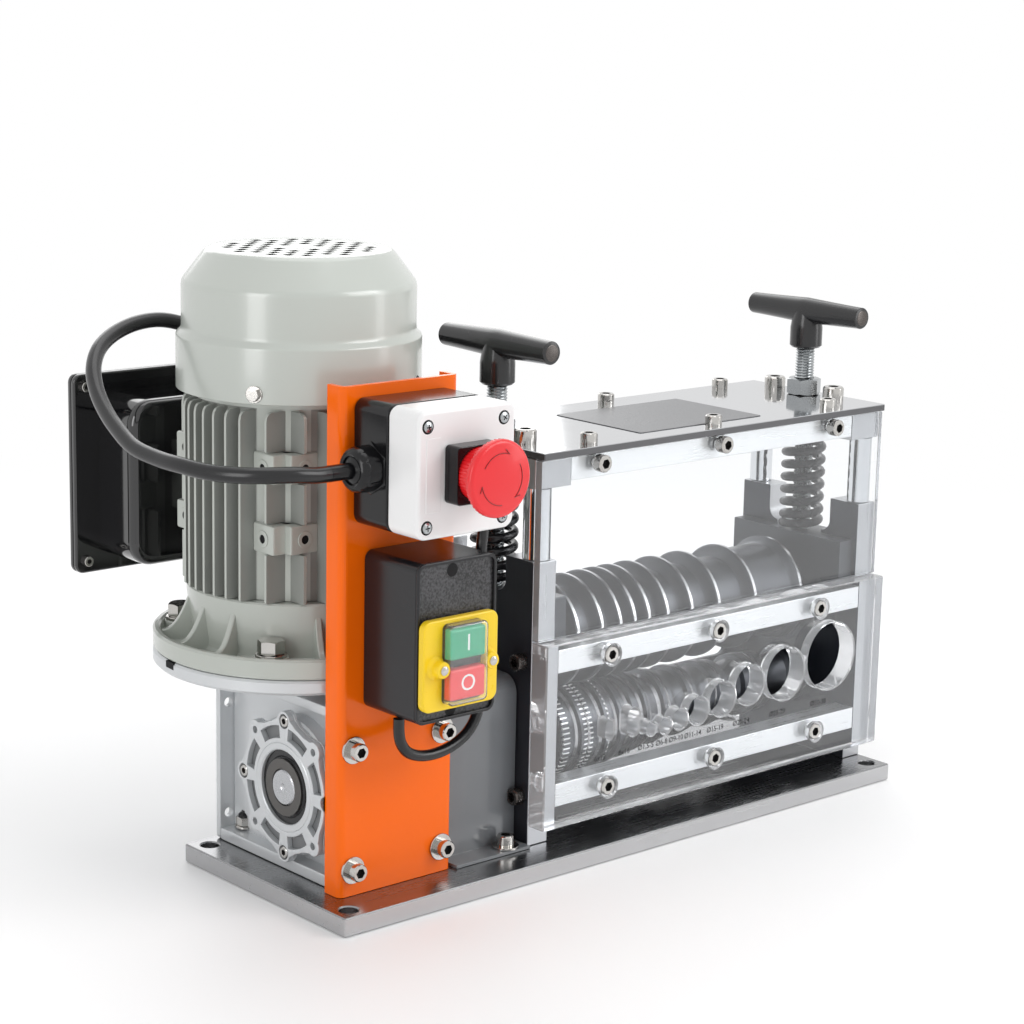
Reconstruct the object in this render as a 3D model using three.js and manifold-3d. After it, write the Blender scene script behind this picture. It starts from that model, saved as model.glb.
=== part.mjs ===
import * as THREE from 'three';
import { mergeVertices } from 'three/addons/utils/BufferGeometryUtils.js';
import Module from 'manifold-3d';

// A bench-top wire stripping machine in millimetres. +X is to the right (motor on the left),
// -Y is the operator's side, +Z is up. The origin is the centre of the base plate's underside.
// Wire goes in at the numbered holes of the front guard, between the blades and the feed rollers,
// and out through the slot in the back guard. The two tee screws lift the blade shaft.

const wasm = await Module();
wasm.setup();

// Clearances that the pieces share, and the tool's run past a face it cuts
const seatGap = 0.2;
const runningGap = 0.3;
const overrun = 1;

// Facets round a circle, by how large the circle looks
const bigFacets = 28;
const midFacets = 20;
const rollerFacets = 14;
const smallFacets = 12;
const tinyFacets = 8;
const boltFacets = 6;
const cornerFacets = 2;

// Driving sizes of the machine
const base = { length: 430, width: 147, thickness: 10.5, holeRadius: 5.25, holeInset: 10 };
const head = { setback: 0.4, halfDepth: 48.5, plateTop: 175 };
const headWidthShare = 0.65465;
const shaftHeight = 60;
const shaftSpacing = 58;
const shaftRadius = 10;

// Head frame
const endPlate = { thickness: 15, notchHalf: 25.5, notchFloor: 154, notchFillet: 7 };
const post = { radius: 7, y: 41.2, length: 41, spigotRadius: 4, spigotLength: 9 };
const endBlock = { length: 24.5, height: 16.5 };
const topBar = { height: 14, depth: 12.2, edgeInset: 0.3 };
const topPlate = { thickness: 4.5, overhangFront: 7.2, overhangBack: 6.8 };
const tieBar = { height: 13.4, depth: 14, upperZ: 117, lowerZ: 39 };
const upperGuard = { thickness: 5.2, gap: 0.5, screwRadius: 3.2, screwDrop: 5.3 };
const feedGuard = { thickness: 13, bottom: 22.3, top: 129.7, screwRadius: 3.2 };
const backGuard = {
  thickness: 3, bottom: 22, top: 130, slotInset: 30, slotBottom: 62, slotTop: 106, slotCorner: 7,
};

// Guard screws, as shares of the head's width from its left end
const upperGuardScrewShares = [0.1503, 0.4948, 0.8362];
const feedGuardScrewShares = [0.179, 0.4885, 0.8004];

// Feed holes and the roller and blade stations behind them, from left to right. Each row gives
// the place along the head, the hole's radius, half the length of its straight part and half the
// roller's width as shares of the head's width, and the hole's height over the feed shaft and
// the radii of the roller's groove and rim as shares of the shafts' spacing.
const stationShares = [
  { place: 0.1762, radius: 0.01066, straight: 0.01066, width: 0.01279, height: 0.2276, groove: 0.4241,
    rim: 0.4948 },
  { place: 0.24298, radius: 0.01563, straight: 0.01421, width: 0.01492, height: 0.2466, groove: 0.4241,
    rim: 0.4948 },
  { place: 0.29449, radius: 0.01474, straight: 0, width: 0.01066, height: 0.1293, groove: 0.3966,
    rim: 0.469 },
  { place: 0.3357, radius: 0.01741, straight: 0, width: 0.01208, height: 0.1207, groove: 0.3724,
    rim: 0.4483 },
  { place: 0.37691, radius: 0.02202, straight: 0, width: 0.0135, height: 0.1552, groove: 0.3448,
    rim: 0.4207 },
  { place: 0.43091, radius: 0.0302, straight: 0, width: 0.01776, height: 0.1948, groove: 0.3207,
    rim: 0.3966 },
  { place: 0.50266, radius: 0.03766, straight: 0, width: 0.02345, height: 0.2552, groove: 0.3,
    rim: 0.3759 },
  { place: 0.58401, radius: 0.04334, straight: 0, width: 0.027, height: 0.3345, groove: 0.2793,
    rim: 0.3552 },
  { place: 0.6952, radius: 0.0579, straight: 0, width: 0.03552, height: 0.3621, groove: 0.2586,
    rim: 0.3345 },
  { place: 0.83872, radius: 0.0746, straight: 0, width: 0.0444, height: 0.4379, groove: 0.2414,
    rim: 0.3172 },
];
const feedRoller = { hubRadius: 13, endRim: 6 };
const rollerFlankShare = 0.138;
const blade = { landRadius: 32, waistRadius: 25, lastWaistRadius: 28 };

// Half the blade's land and the width of its flank, as shares of the least pitch between stations
const bladeLandShare = 0.155;
const bladeFlankShare = 0.293;
const bladeCollar = { radius: 17, length: 6 };

// Blade shaft's bearing blocks, springs and tee screws
const bearingBlock = {
  length: 26.5, bottom: 92, top: 152, cheekHalf: 45, cheekBottom: 126, neckHalf: 30,
  boreDepth: 21, studDepth: 8,
};
const spring = { radius: 11.5, wire: 5, turns: 8, steps: 8, sides: 5 };
const stud = { radius: 6, exposed: 29.6 };
const teeHandle = { hubRadius: 10, rise: 23, midRadius: 8, endRadius: 6.5, halfLength: 45 };
const lockNut = { flats: 19, height: 10 };

// Gearbox with its hollow output shaft on the feed shaft's axis, and the vertical worm behind it
const gearbox = {
  inset: 53.5, halfWidth: 34, front: -45.8, back: 71.2, top: 110, wheelBore: 34, wormBore: 15.5,
  wormDrop: 32, centreDistance: 40, reliefFront: -18.8, reliefBack: 47, reliefHeight: 3,
  flangeThickness: 4.2, pocketDepth: 16.5, pocketFront: 46, pocketFloor: 8, pocketRoof: 3,
  boltRadius: 3.7, boltX: 28.9, boltLow: 25, boltHigh: 94.6,
};
const cover = {
  thickness: 5.5, lobes: 8, boltCircle: 37, lobeRadius: 5.6, ringRadius: 25.5, webOuter: 38.4,
  boltRadius: 2.6, sealRadius: 21, sealDepth: 2, windowDepth: 3.6, windowInner: 27.5, windowOuter: 34,
  windowSpread: 0.23, trim: 10.3, spigotLength: 10,
};
const wheel = { radius: 27.5, halfWidth: 14, sleeveRadius: 16 };
const worm = { radius: 12, halfLength: 28, journalRadius: 8, sleeveRadius: 11, sleeveGap: 2,
  socketRise: 18 };

// Motor on the worm's axis
const motorShaftRadius = 7;
const flangeIn = { radius: 80, neckHeight: 7.8, thickness: 8.2, neckRadius: 47, notchHalf: 4,
  notchDepth: 3 };
const motorFlange = {
  floor: 5.5, rimWidth: 4.5, rimHeight: 11, bellBottomRadius: 58, bellTopRadius: 61.5, bellHeight: 36.5,
  wall: 8, gussets: 12, gussetHalf: 1.8, gussetHeight: 19,
};
const frame = {
  rootRadius: 55, finRadius: 63, length: 106.9, finHalf: 1.1, sideFinPitch: 8.5,
  frontFinPitch: 7.7, bore: 34.5, chamfer: 8, collarHeight: 3,
};
const finPlaceShares = [-4.5, -3, -2, -1, 0, 1, 2, 3, 4.5];
const pad = { outer: 50, sideInner: 26.75, sideOuter: 45, frontInner: 24, frontOuter: 42, height: 16 };
const padBottomShares = [0.2516, 0.6071];
const terminalSeat = { halfWidth: 24, halfHeight: 20, depth: 24 };
const rotor = { radius: 34, bottomGap: 4.9, topGap: 8 };
const shield = { thickness: 7, hubRadius: 14, hubHeight: 4 };
const fan = { radius: 55, hubRadius: 12, plateRadius: 42, plate: 2, height: 20, blades: 8, bladeHalf: 1 };
const fanCover = {
  skirtRadius: 66.5, skirtHeight: 28, bodyRadius: 63.5, bodyHeight: 57.8, crownRadius: 48.7, height: 75.3,
  wall: 2, ledge: 1.2, grilleRadius: 41, cell: 7.2, holeHalf: 2.4, dimpleRadius: 7, dimpleDepth: 0.8,
};

// Capacitor box hung on the back of the motor
const tray = {
  halfWidth: 62, lowGap: 0.1, highGap: 13, flangeSide: 16, flangeDrop: 7.5, flangeRise: 12, wall: 1.6,
  finGap: 6, depth: 38, corner: 9, lip: 2,
};
const lid = { thickness: 3 };
const capacitor = { radius: 17, halfLength: 45 };

// Orange control bracket and what it carries
// (offset is the place of a piece's middle to the right of the motor's axis)
const bracket = {
  halfWidth: 38.6, front: -49, sheet: 3, flange: 13, topRise: 6, bend: 4, boltRadius: 3.3, boltHalf: 30.1,
  boltLow: 25.2, boltHigh: 91.6,
};
const estop = {
  offset: 0.5, gap: 14.5, halfWidth: 32, halfHeight: 33, baseDepth: 27.7, coverDepth: 24.5, corner: 6,
    wall: 2.6,
  stemRadius: 11, collarHalf: 15, collarDepth: 10, collarCorner: 3, travel: 5,
};
const mushroom = { radius: 20, neckRadius: 14, neckLength: 2.4, flare: 3.4, rim: 2.5, crown: 3.6 };
const crownShare = 0.6;
const gland = {
  drop: 1, flats: 24, nutLength: 8, shankRadius: 8, domeRadius: 11, domeLength: 12, tipRadius: 7.5,
  chamfer: 1, inside: 4,
};
const switchBox = {
  offset: 2.55, halfWidth: 26.45, bottom: 113.6, height: 84.9, depth: 44, wall: 2.6, corner: 5, rim: 1.2,
  rimWidth: 2.4,
};
const switchFrame = { offset: 1.5, halfWidth: 25, drop: 23.5, rise: 25, depth: 4.6, corner: 8 };
const buttons = {
  halfWidth: 11.6, length: 9.6, travel: 3, startRise: 4, startHeight: 16, stopDrop: 1, stopHeight: 16.5,
};
const switchPost = { offset: 16.4, radius: 3.2, length: 7.2 };
const lens = { wall: 1, depth: 6.8, drop: 20, rise: 22.5 };
const switchRise = 30.9;

// Cables: diameters, and routes chosen by hand, with X from the motor's axis
const motorCable = { diameter: 8.5, steps: 36, sides: 8 };
const motorCableRoute = [
  [-58.8, -63.7, 245], [-66.5, -63.7, 245.2], [-78.5, -62, 246.5], [-91.5, -55, 246.5], [-100.5, -44, 246],
  [-107.5, -29, 246], [-111.5, -11, 247], [-112.5, 8, 247.5], [-112.5, 30, 250], [-109.5, 50, 256],
  [-105.5, 68, 263],
  [-100.5, 84, 271], [-93.5, 98, 280], [-82.5, 110, 288], [-67.5, 119, 294], [-48.5, 125, 298],
  [-29.5, 128, 298],
  [-12.5, 128, 293], [-0.5, 128, 283], [4.5, 128, 271], [5, 128, 264], [5, 128, 257.5],
];
const switchCable = { diameter: 6, steps: 28, sides: 8 };
const switchCableRoute = [
  [-20.5, -75, 113.3], [-20.5, -75, 107], [-19.1, -75, 100], [-14.5, -75, 94], [-5.5, -75, 90.3],
  [5.5, -75, 89.7], [16.5, -75, 92], [26.5, -75, 97.5], [32.5, -74.6, 105], [34.9, -74, 114],
  [35.9, -73, 128], [36.5, -72, 144], [36.9, -71, 160], [37.5, -70, 176], [39, -68.6, 192],
  [41.7, -67, 206], [43.9, -65.4, 217], [44.5, -64.2, 225], [42.7, -63.4, 230.4], [39.1, -63, 232],
  [32.8, -63, 232],
];

// Sheet cover over the shaft between the gearbox and the head
const tunnel = { endGap: 0.6, halfWidth: 37.7, top: 108, sheet: 1.8, bend: 10, footHalf: 52 };

// Places worked out from the driving sizes
const headWidth = base.length * headWidthShare;
const headRight = base.length / 2 - head.setback;
const headLeft = headRight - headWidth;
const innerLeft = headLeft + endPlate.thickness;
const innerRight = headRight - endPlate.thickness;
const bladeHeight = shaftHeight + shaftSpacing;
const blockBottom = head.plateTop + post.length;
const blockTop = blockBottom + endBlock.height;
const plateTop = blockTop + topPlate.thickness;
const studX = [headLeft + bearingBlock.length / 2, headRight - bearingBlock.length / 2];
const hubBottom = plateTop + stud.exposed;
const stations = stationShares.map((share) => ({
  x: headLeft + share.place * headWidth,
  z: shaftHeight + share.height * shaftSpacing,
  radius: share.radius * headWidth,
  halfLength: share.straight * headWidth,
  halfWidth: share.width * headWidth,
  groove: share.groove * shaftSpacing,
  rim: share.rim * shaftSpacing,
}));
const leastPitch = stations.slice(1).reduce((least, { x }, i) => Math.min(least, x - stations[i].x),
  headWidth);
const motorX = gearbox.inset - base.length / 2;
const motorY = gearbox.centreDistance;
const motorCentre = [motorX, motorY];
const coverLeft = motorX - gearbox.halfWidth - cover.thickness;
const coverRight = motorX + gearbox.halfWidth + cover.thickness;
const flangeInBottom = gearbox.top + seatGap + flangeIn.neckHeight;
const flangeInTop = flangeInBottom + flangeIn.thickness;
const wormSocketFloor = shaftHeight + worm.socketRise;
const motorFlangeBottom = flangeInTop + seatGap;
const frameBottom = motorFlangeBottom + motorFlange.bellHeight + seatGap;
const frameTop = frameBottom + frame.length;
const coverBottom = frameTop + seatGap;
const trayFront = motorY + frame.finRadius + tray.finGap;
const trayBack = trayFront + tray.depth;
const trayBottom = frameBottom - tray.lowGap;
const trayTop = frameTop - tray.highGap;
const boxBack = bracket.front - seatGap;
const estopSplit = boxBack - estop.baseDepth;
const estopFace = estopSplit - estop.coverDepth;
const collarFace = estopFace - seatGap - estop.collarDepth;
const estopX = motorX + estop.offset;
const estopZ = switchBox.bottom + switchBox.height + estop.gap + estop.halfHeight;
const estopLeft = estopX - estop.halfWidth;
const glandZ = estopZ - gland.drop;
const headBack = collarFace - estop.travel - runningGap;
const switchBoxX = motorX + switchBox.offset;
const switchFace = boxBack - switchBox.depth;
const bezelBack = switchFace - seatGap;
const bezelFace = bezelBack - switchFrame.depth;
const buttonX = motorX + switchFrame.offset;
const buttonZ = switchBox.bottom + switchRise;
const lensFace = bezelFace - seatGap - lens.depth;
const lensSpan = [buttonZ - lens.drop, buttonZ + lens.rise];

// Turn a closed three.js geometry into a solid that can be joined and cut
function solid(geometry) {
  const bare = geometry.index ? geometry.toNonIndexed() : geometry.clone();
  bare.deleteAttribute('normal');
  bare.deleteAttribute('uv');
  const merged = mergeVertices(bare);
  const corners = merged.index.array;
  const triangles = [];
  for (let i = 0; i < corners.length; i += 3) {
    const [a, b, c] = [corners[i], corners[i + 1], corners[i + 2]];
    if (a !== b && b !== c && c !== a) triangles.push(a, b, c);
  }
  return new wasm.Manifold(new wasm.Mesh({
    numProp: 3,
    vertProperties: new Float32Array(merged.attributes.position.array),
    triVerts: new Uint32Array(triangles),
  }));
}

function geometryOf(body) {
  const mesh = body.getMesh();
  const geometry = new THREE.BufferGeometry();
  geometry.setAttribute('position', new THREE.BufferAttribute(new Float32Array(mesh.vertProperties), 3));
  geometry.setIndex(new THREE.BufferAttribute(new Uint32Array(mesh.triVerts), 1));
  return geometry;
}

const joined = (...bodies) => bodies.reduce((whole, body) => whole.add(body));
const cut = (stock, ...tools) => tools.reduce((rest, tool) => rest.subtract(tool), stock);

function block([x0, x1], [y0, y1], [z0, z1]) {
  const geometry = new THREE.BoxGeometry(x1 - x0, y1 - y0, z1 - z0);
  geometry.translate((x0 + x1) / 2, (y0 + y1) / 2, (z0 + z1) / 2);
  return solid(geometry);
}

// Turn a body made along +Z so that it lies along +X or +Y, then put it in place
function laid(geometry, axis, place = [0, 0, 0]) {
  if (axis === 'x') geometry.rotateX(Math.PI / 2).rotateZ(Math.PI / 2);
  if (axis === 'y') geometry.rotateX(-Math.PI / 2);
  return geometry.translate(...place);
}

// A revolved solid: points are [radius, distance along the axis] going round the section
function turned(axis, points, facets, place) {
  const area = points.reduce((sum, [r, h], i) => {
    const [nextR, nextH] = points[(i + 1) % points.length];
    return sum + r * nextH - nextR * h;
  }, 0);
  const ordered = area > 0 ? points : [...points].reverse();
  const closed = [...ordered, ordered[0]].map(([r, h]) => new THREE.Vector2(r, h));
  const geometry = new THREE.LatheGeometry(closed, facets);
  return solid(laid(geometry.rotateX(Math.PI / 2), axis, place));
}

const rod = (axis, radius, [from, to], facets, place) =>
  turned(axis, [[0, from], [radius, from], [radius, to], [0, to]], facets, place);

// A cutter whose flats, not its corners, lie at the stated radius
const bore = (axis, radius, span, facets, place) =>
  rod(axis, radius / Math.cos(Math.PI / facets), span, facets, place);

// Outlines in the plane across an axis: (Y, Z) across X, (X, Z) across Y, (X, Y) across Z
function extruded(axis, shape, [from, to], curveSegments = 6) {
  const geometry = new THREE.ExtrudeGeometry(shape, { depth: to - from, bevelEnabled: false,
    curveSegments });
  if (axis === 'x') return solid(geometry.rotateX(Math.PI / 2).rotateZ(Math.PI / 2).translate(from, 0, 0));
  if (axis === 'y') return solid(geometry.rotateX(Math.PI / 2).translate(0, to, 0));
  return solid(geometry.translate(0, 0, from));
}

const polygon = (points) => new THREE.Shape(points.map(([u, v]) => new THREE.Vector2(u, v)));

function rounded([u0, u1], [v0, v1], radius) {
  const shape = new THREE.Shape();
  shape.moveTo(u0 + radius, v0);
  shape.lineTo(u1 - radius, v0);
  shape.absarc(u1 - radius, v0 + radius, radius, -Math.PI / 2, 0);
  shape.lineTo(u1, v1 - radius);
  shape.absarc(u1 - radius, v1 - radius, radius, 0, Math.PI / 2);
  shape.lineTo(u0 + radius, v1);
  shape.absarc(u0 + radius, v1 - radius, radius, Math.PI / 2, Math.PI);
  shape.lineTo(u0, v0 + radius);
  shape.absarc(u0 + radius, v0 + radius, radius, Math.PI, 1.5 * Math.PI);
  return shape;
}

function circle(u, v, radius, facets = smallFacets) {
  const points = [];
  for (let i = 0; i < facets; i += 1) {
    const angle = (2 * Math.PI * (i + 0.5)) / facets;
    points.push(new THREE.Vector2(u + radius * Math.cos(angle), v + radius * Math.sin(angle)));
  }
  return new THREE.Path(points);
}

// A slot with round ends, or a round hole where the half length is zero
function slotHole(u, v, radius, halfLength) {
  if (halfLength === 0) return circle(u, v, radius, radius > shaftRadius ? midFacets : smallFacets);
  const points = [];
  const half = tinyFacets / 2;
  for (const [side, start] of [[1, -Math.PI / 2], [-1, Math.PI / 2]]) {
    for (let i = 0; i <= half; i += 1) {
      const angle = start + (Math.PI * i) / half;
      const across = u + side * halfLength + radius * Math.cos(angle);
      points.push(new THREE.Vector2(across, v + radius * Math.sin(angle)));
    }
  }
  return new THREE.Path(points);
}

function withHoles(shape, holes) {
  shape.holes.push(...holes);
  return shape;
}

// A tube along a smooth line through hand-chosen points
function cable(route, { diameter, steps, sides }) {
  const places = route.map(([x, y, z]) => new THREE.Vector3(motorX + x, y, z));
  const path = new THREE.CatmullRomCurve3(places, false, 'centripetal');
  const section = new THREE.Shape(circle(0, 0, diameter / 2, sides).getPoints());
  return solid(new THREE.ExtrudeGeometry(section, { steps, extrudePath: path, bevelEnabled: false }));
}

// Finishes: colour, roughness and metalness of each kind of surface
const finish = (color, roughness, metalness, extra = {}) =>
  new THREE.MeshStandardMaterial({ color, roughness, metalness, flatShading: true, ...extra });
const finishes = {
  darkSteel: finish(0x4a4c50, 0.4, 0.9),
  plateSteel: finish(0x8c8f94, 0.3, 0.9),
  chrome: finish(0xd8dadd, 0.12, 1),
  zinc: finish(0xb9bbbe, 0.35, 0.9),
  rollerSteel: finish(0x9a9da1, 0.3, 0.95),
  brushedAluminium: finish(0xc9cbce, 0.35, 0.9),
  castAluminium: finish(0xc4c6c8, 0.5, 0.8),
  motorGrey: finish(0xa9aea8, 0.45, 0.1),
  coverGrey: finish(0x7c8287, 0.45, 0.2),
  clear: finish(0xe8eef0, 0.05, 0, { transparent: true, opacity: 0.3 }),
  orange: finish(0xf5711a, 0.3, 0.05),
  blackPlastic: finish(0x17181a, 0.5, 0),
  blackGloss: finish(0x0d0d0f, 0.15, 0.1),
  blackSteel: finish(0x1b1c1e, 0.45, 0.6),
  whitePlastic: finish(0xe9e9e6, 0.45, 0),
  redPlastic: finish(0xd8232a, 0.35, 0),
  greenPlastic: finish(0x129a55, 0.35, 0),
  yellowPlastic: finish(0xf5d21b, 0.45, 0),
  charcoalPlastic: finish(0x2a2b2d, 0.65, 0),
  bronze: finish(0xb08a4c, 0.4, 0.8),
  copper: finish(0x9b6b45, 0.5, 0.7),
};

const machine = new THREE.Group();

function piece(name, material, body) {
  const mesh = new THREE.Mesh(geometryOf(body), finishes[material]);
  mesh.name = name;
  machine.add(mesh);
}

// Base plate with its four fixing holes
function basePlate() {
  const halfLength = base.length / 2;
  const halfWidth = base.width / 2;
  const holes = [];
  for (const u of [-1, 1]) {
    for (const v of [-1, 1]) {
      holes.push(circle(u * (halfLength - base.holeInset), v * (halfWidth - base.holeInset),
        base.holeRadius));
    }
  }
  const outline = polygon([
    [-halfLength, -halfWidth], [halfLength, -halfWidth], [halfLength, halfWidth], [-halfLength, halfWidth],
  ]);
  return extruded('z', withHoles(outline, holes), [0, base.thickness]);
}

// End plate: bore for the feed shaft, slot for the bearing block and a wider notch for the spring
function endPlateBody(from) {
  const half = head.halfDepth;
  const floor = endPlate.notchFloor;
  const fillet = endPlate.notchFillet;
  const slotHalf = endPlate.notchHalf - fillet;
  const slotFloor = bearingBlock.bottom - runningGap;
  const bottom = base.thickness + seatGap;
  const shape = new THREE.Shape();
  shape.moveTo(-half, bottom);
  shape.lineTo(half, bottom);
  shape.lineTo(half, head.plateTop);
  shape.lineTo(endPlate.notchHalf, head.plateTop);
  shape.lineTo(endPlate.notchHalf, floor + fillet);
  shape.absarc(slotHalf, floor + fillet, fillet, 0, -Math.PI / 2, true);
  shape.lineTo(slotHalf, slotFloor);
  shape.lineTo(-slotHalf, slotFloor);
  shape.lineTo(-slotHalf, floor);
  shape.absarc(-slotHalf, floor + fillet, fillet, -Math.PI / 2, -Math.PI, true);
  shape.lineTo(-endPlate.notchHalf, head.plateTop);
  shape.lineTo(-half, head.plateTop);
  const plate = extruded('x', shape, [from, from + endPlate.thickness]);
  const middle = from + endPlate.thickness / 2;
  const socketSpan = [head.plateTop - post.spigotLength - runningGap, head.plateTop + overrun];
  const sockets = [-1, 1].map((side) =>
    bore('z', post.spigotRadius + runningGap, socketSpan, tinyFacets, [middle, side * post.y, 0]));
  const shaftBore = bore('x', shaftRadius + runningGap,
    [from - overrun, from + endPlate.thickness + overrun], midFacets, [0, 0, shaftHeight]);
  return cut(plate, shaftBore, ...sockets);
}

function guidePost(x, y) {
  const low = head.plateTop + seatGap;
  const high = blockBottom - seatGap;
  return turned('z', [
    [0, head.plateTop - post.spigotLength], [post.spigotRadius, head.plateTop - post.spigotLength],
    [post.spigotRadius, low], [post.radius, low], [post.radius, high], [post.spigotRadius, high],
    [post.spigotRadius, blockBottom + post.spigotLength], [0, blockBottom + post.spigotLength],
  ], smallFacets, [x, y, 0]);
}

function endBlockBody(from, postX, screwX) {
  const stock = block([from, from + endBlock.length], [-head.halfDepth, head.halfDepth],
    [blockBottom, blockTop]);
  const socketSpan = [blockBottom - overrun, blockBottom + post.spigotLength + runningGap];
  const sockets = [-1, 1].map((side) =>
    bore('z', post.spigotRadius + runningGap, socketSpan, tinyFacets, [postX, side * post.y, 0]));
  const screwBore = bore('z', stud.radius + runningGap, [blockBottom - overrun, blockTop + overrun],
    smallFacets, [screwX, 0, 0]);
  return cut(stock, screwBore, ...sockets);
}

function topBarBody(side) {
  const outer = head.halfDepth - topBar.edgeInset;
  const span = [outer * side, (outer - topBar.depth) * side].sort((a, b) => a - b);
  return block([headLeft + endBlock.length + seatGap, headRight - endBlock.length - seatGap], span,
    [blockTop - topBar.height, blockTop]);
}

function topPlateBody() {
  const front = -head.halfDepth - topPlate.overhangFront;
  const back = head.halfDepth + topPlate.overhangBack;
  const outline = polygon([[headLeft, front], [headRight, front], [headRight, back], [headLeft, back]]);
  const holes = studX.map((x) => circle(x, 0, (stud.radius + runningGap) / Math.cos(Math.PI / smallFacets)));
  return extruded('z', withHoles(outline, holes), [blockTop + seatGap, plateTop]);
}

function tieBarBody(z) {
  const front = -head.halfDepth + seatGap;
  return block([innerLeft + seatGap, innerRight - seatGap], [front, front + tieBar.depth],
    [z - tieBar.height / 2, z + tieBar.height / 2]);
}

// Thick clear guard with the sized feed holes
function feedGuardBody() {
  const outline = polygon([
    [headLeft, feedGuard.bottom], [headRight, feedGuard.bottom], [headRight, feedGuard.top],
    [headLeft, feedGuard.top],
  ]);
  const holes = stations.map(({ x, z, radius, halfLength }) => slotHole(x, z, radius, halfLength));
  for (const share of feedGuardScrewShares) {
    const x = headLeft + share * headWidth;
    holes.push(circle(x, tieBar.upperZ, feedGuard.screwRadius, boltFacets));
    holes.push(circle(x, tieBar.lowerZ, feedGuard.screwRadius, boltFacets));
  }
  const back = -head.halfDepth - seatGap / 2;
  return extruded('y', withHoles(outline, holes), [back - feedGuard.thickness, back]);
}

function upperGuardBody() {
  const bottom = feedGuard.top + upperGuard.gap;
  const top = blockTop - seatGap / 2;
  const outline = polygon([[headLeft, bottom], [headRight, bottom], [headRight, top], [headLeft, top]]);
  const holes = upperGuardScrewShares.map((share) => circle(
    headLeft + share * headWidth, blockTop - upperGuard.screwDrop, upperGuard.screwRadius, boltFacets));
  const back = -head.halfDepth - seatGap / 2;
  return extruded('y', withHoles(outline, holes), [back - upperGuard.thickness, back]);
}

// Back guard with the long slot that the stripped wire leaves through
function backGuardBody() {
  const { bottom, top, slotInset, slotBottom, slotTop, slotCorner } = backGuard;
  const outline = polygon([[headLeft, bottom], [headRight, bottom], [headRight, top], [headLeft, top]]);
  const slot = rounded([headLeft + slotInset, headRight - slotInset], [slotBottom, slotTop], slotCorner);
  const front = head.halfDepth + seatGap;
  return extruded('y', withHoles(outline, [new THREE.Path(slot.getPoints(tinyFacets / 4))]),
    [front, front + backGuard.thickness]);
}

// Bearing block: a tongue that slides in the end plate's slot and a wider cheek inside it
function bearingBlockBody(side) {
  const outer = side < 0 ? headLeft : headRight;
  const plateFace = outer - side * (endPlate.thickness + runningGap);
  const inner = outer - side * bearingBlock.length;
  const span = (a, b) => [Math.min(a, b), Math.max(a, b)];
  const tongueHalf = endPlate.notchHalf - endPlate.notchFillet - runningGap;
  const { bottom, top, cheekHalf, cheekBottom, neckHalf } = bearingBlock;
  const tongue = block(span(outer, inner), [-tongueHalf, tongueHalf], [bottom, top]);
  const cheek = extruded('x', polygon([
    [-neckHalf, bottom], [neckHalf, bottom], [neckHalf, cheekBottom], [cheekHalf, cheekBottom],
    [cheekHalf, top], [-cheekHalf, top], [-cheekHalf, cheekBottom], [-neckHalf, cheekBottom],
  ]), span(plateFace, inner));
  const journalBore = bore('x', shaftRadius + runningGap,
    span(inner - side * overrun, inner + side * bearingBlock.boreDepth), midFacets, [0, 0, bladeHeight]);
  const studBore = bore('z', stud.radius + runningGap, [top - bearingBlock.studDepth, top + overrun],
    smallFacets, [outer - (side * bearingBlock.length) / 2, 0, 0]);
  return cut(joined(tongue, cheek), journalBore, studBore);
}

// Blade shaft between its two journals
function bladeShaftBody() {
  const reach = bearingBlock.length - bearingBlock.boreDepth + runningGap;
  return rod('x', shaftRadius, [headLeft + reach, headRight - reach], midFacets, [0, 0, bladeHeight]);
}

// Blade discs over the feed stations, with a waist between each two
function bladeStackBody() {
  const left = headLeft + bearingBlock.length + runningGap;
  const right = headRight - bearingBlock.length - runningGap;
  const landHalf = bladeLandShare * leastPitch;
  const reach = landHalf + bladeFlankShare * leastPitch;
  const points = [
    [shaftRadius + runningGap, left], [bladeCollar.radius, left],
    [bladeCollar.radius, left + bladeCollar.length],
  ];
  stations.forEach(({ x }, i) => {
    const before = i === stations.length - 1 ? blade.lastWaistRadius : blade.waistRadius;
    const after = i >= stations.length - 2 ? blade.lastWaistRadius : blade.waistRadius;
    if (i === 0) points.push([blade.waistRadius, left + bladeCollar.length]);
    points.push([before, x - reach], [blade.landRadius, x - landHalf]);
    points.push([blade.landRadius, x + landHalf], [after, x + reach]);
  });
  points.push([blade.lastWaistRadius, right - bladeCollar.length]);
  points.push([bladeCollar.radius, right - bladeCollar.length], [bladeCollar.radius, right]);
  points.push([shaftRadius + runningGap, right]);
  return turned('x', points, rollerFacets, [0, 0, bladeHeight]);
}

// One long shaft through the gearbox, the tunnel and both end plates
function feedShaftBody() {
  const left = coverLeft - seatGap;
  const right = headRight - runningGap;
  const chamfer = shaftRadius / 10;
  return turned('x', [
    [0, left], [shaftRadius - chamfer, left], [shaftRadius, left + chamfer],
    [shaftRadius, right - chamfer], [shaftRadius - chamfer, right], [0, right],
  ], midFacets, [0, 0, shaftHeight]);
}

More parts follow.
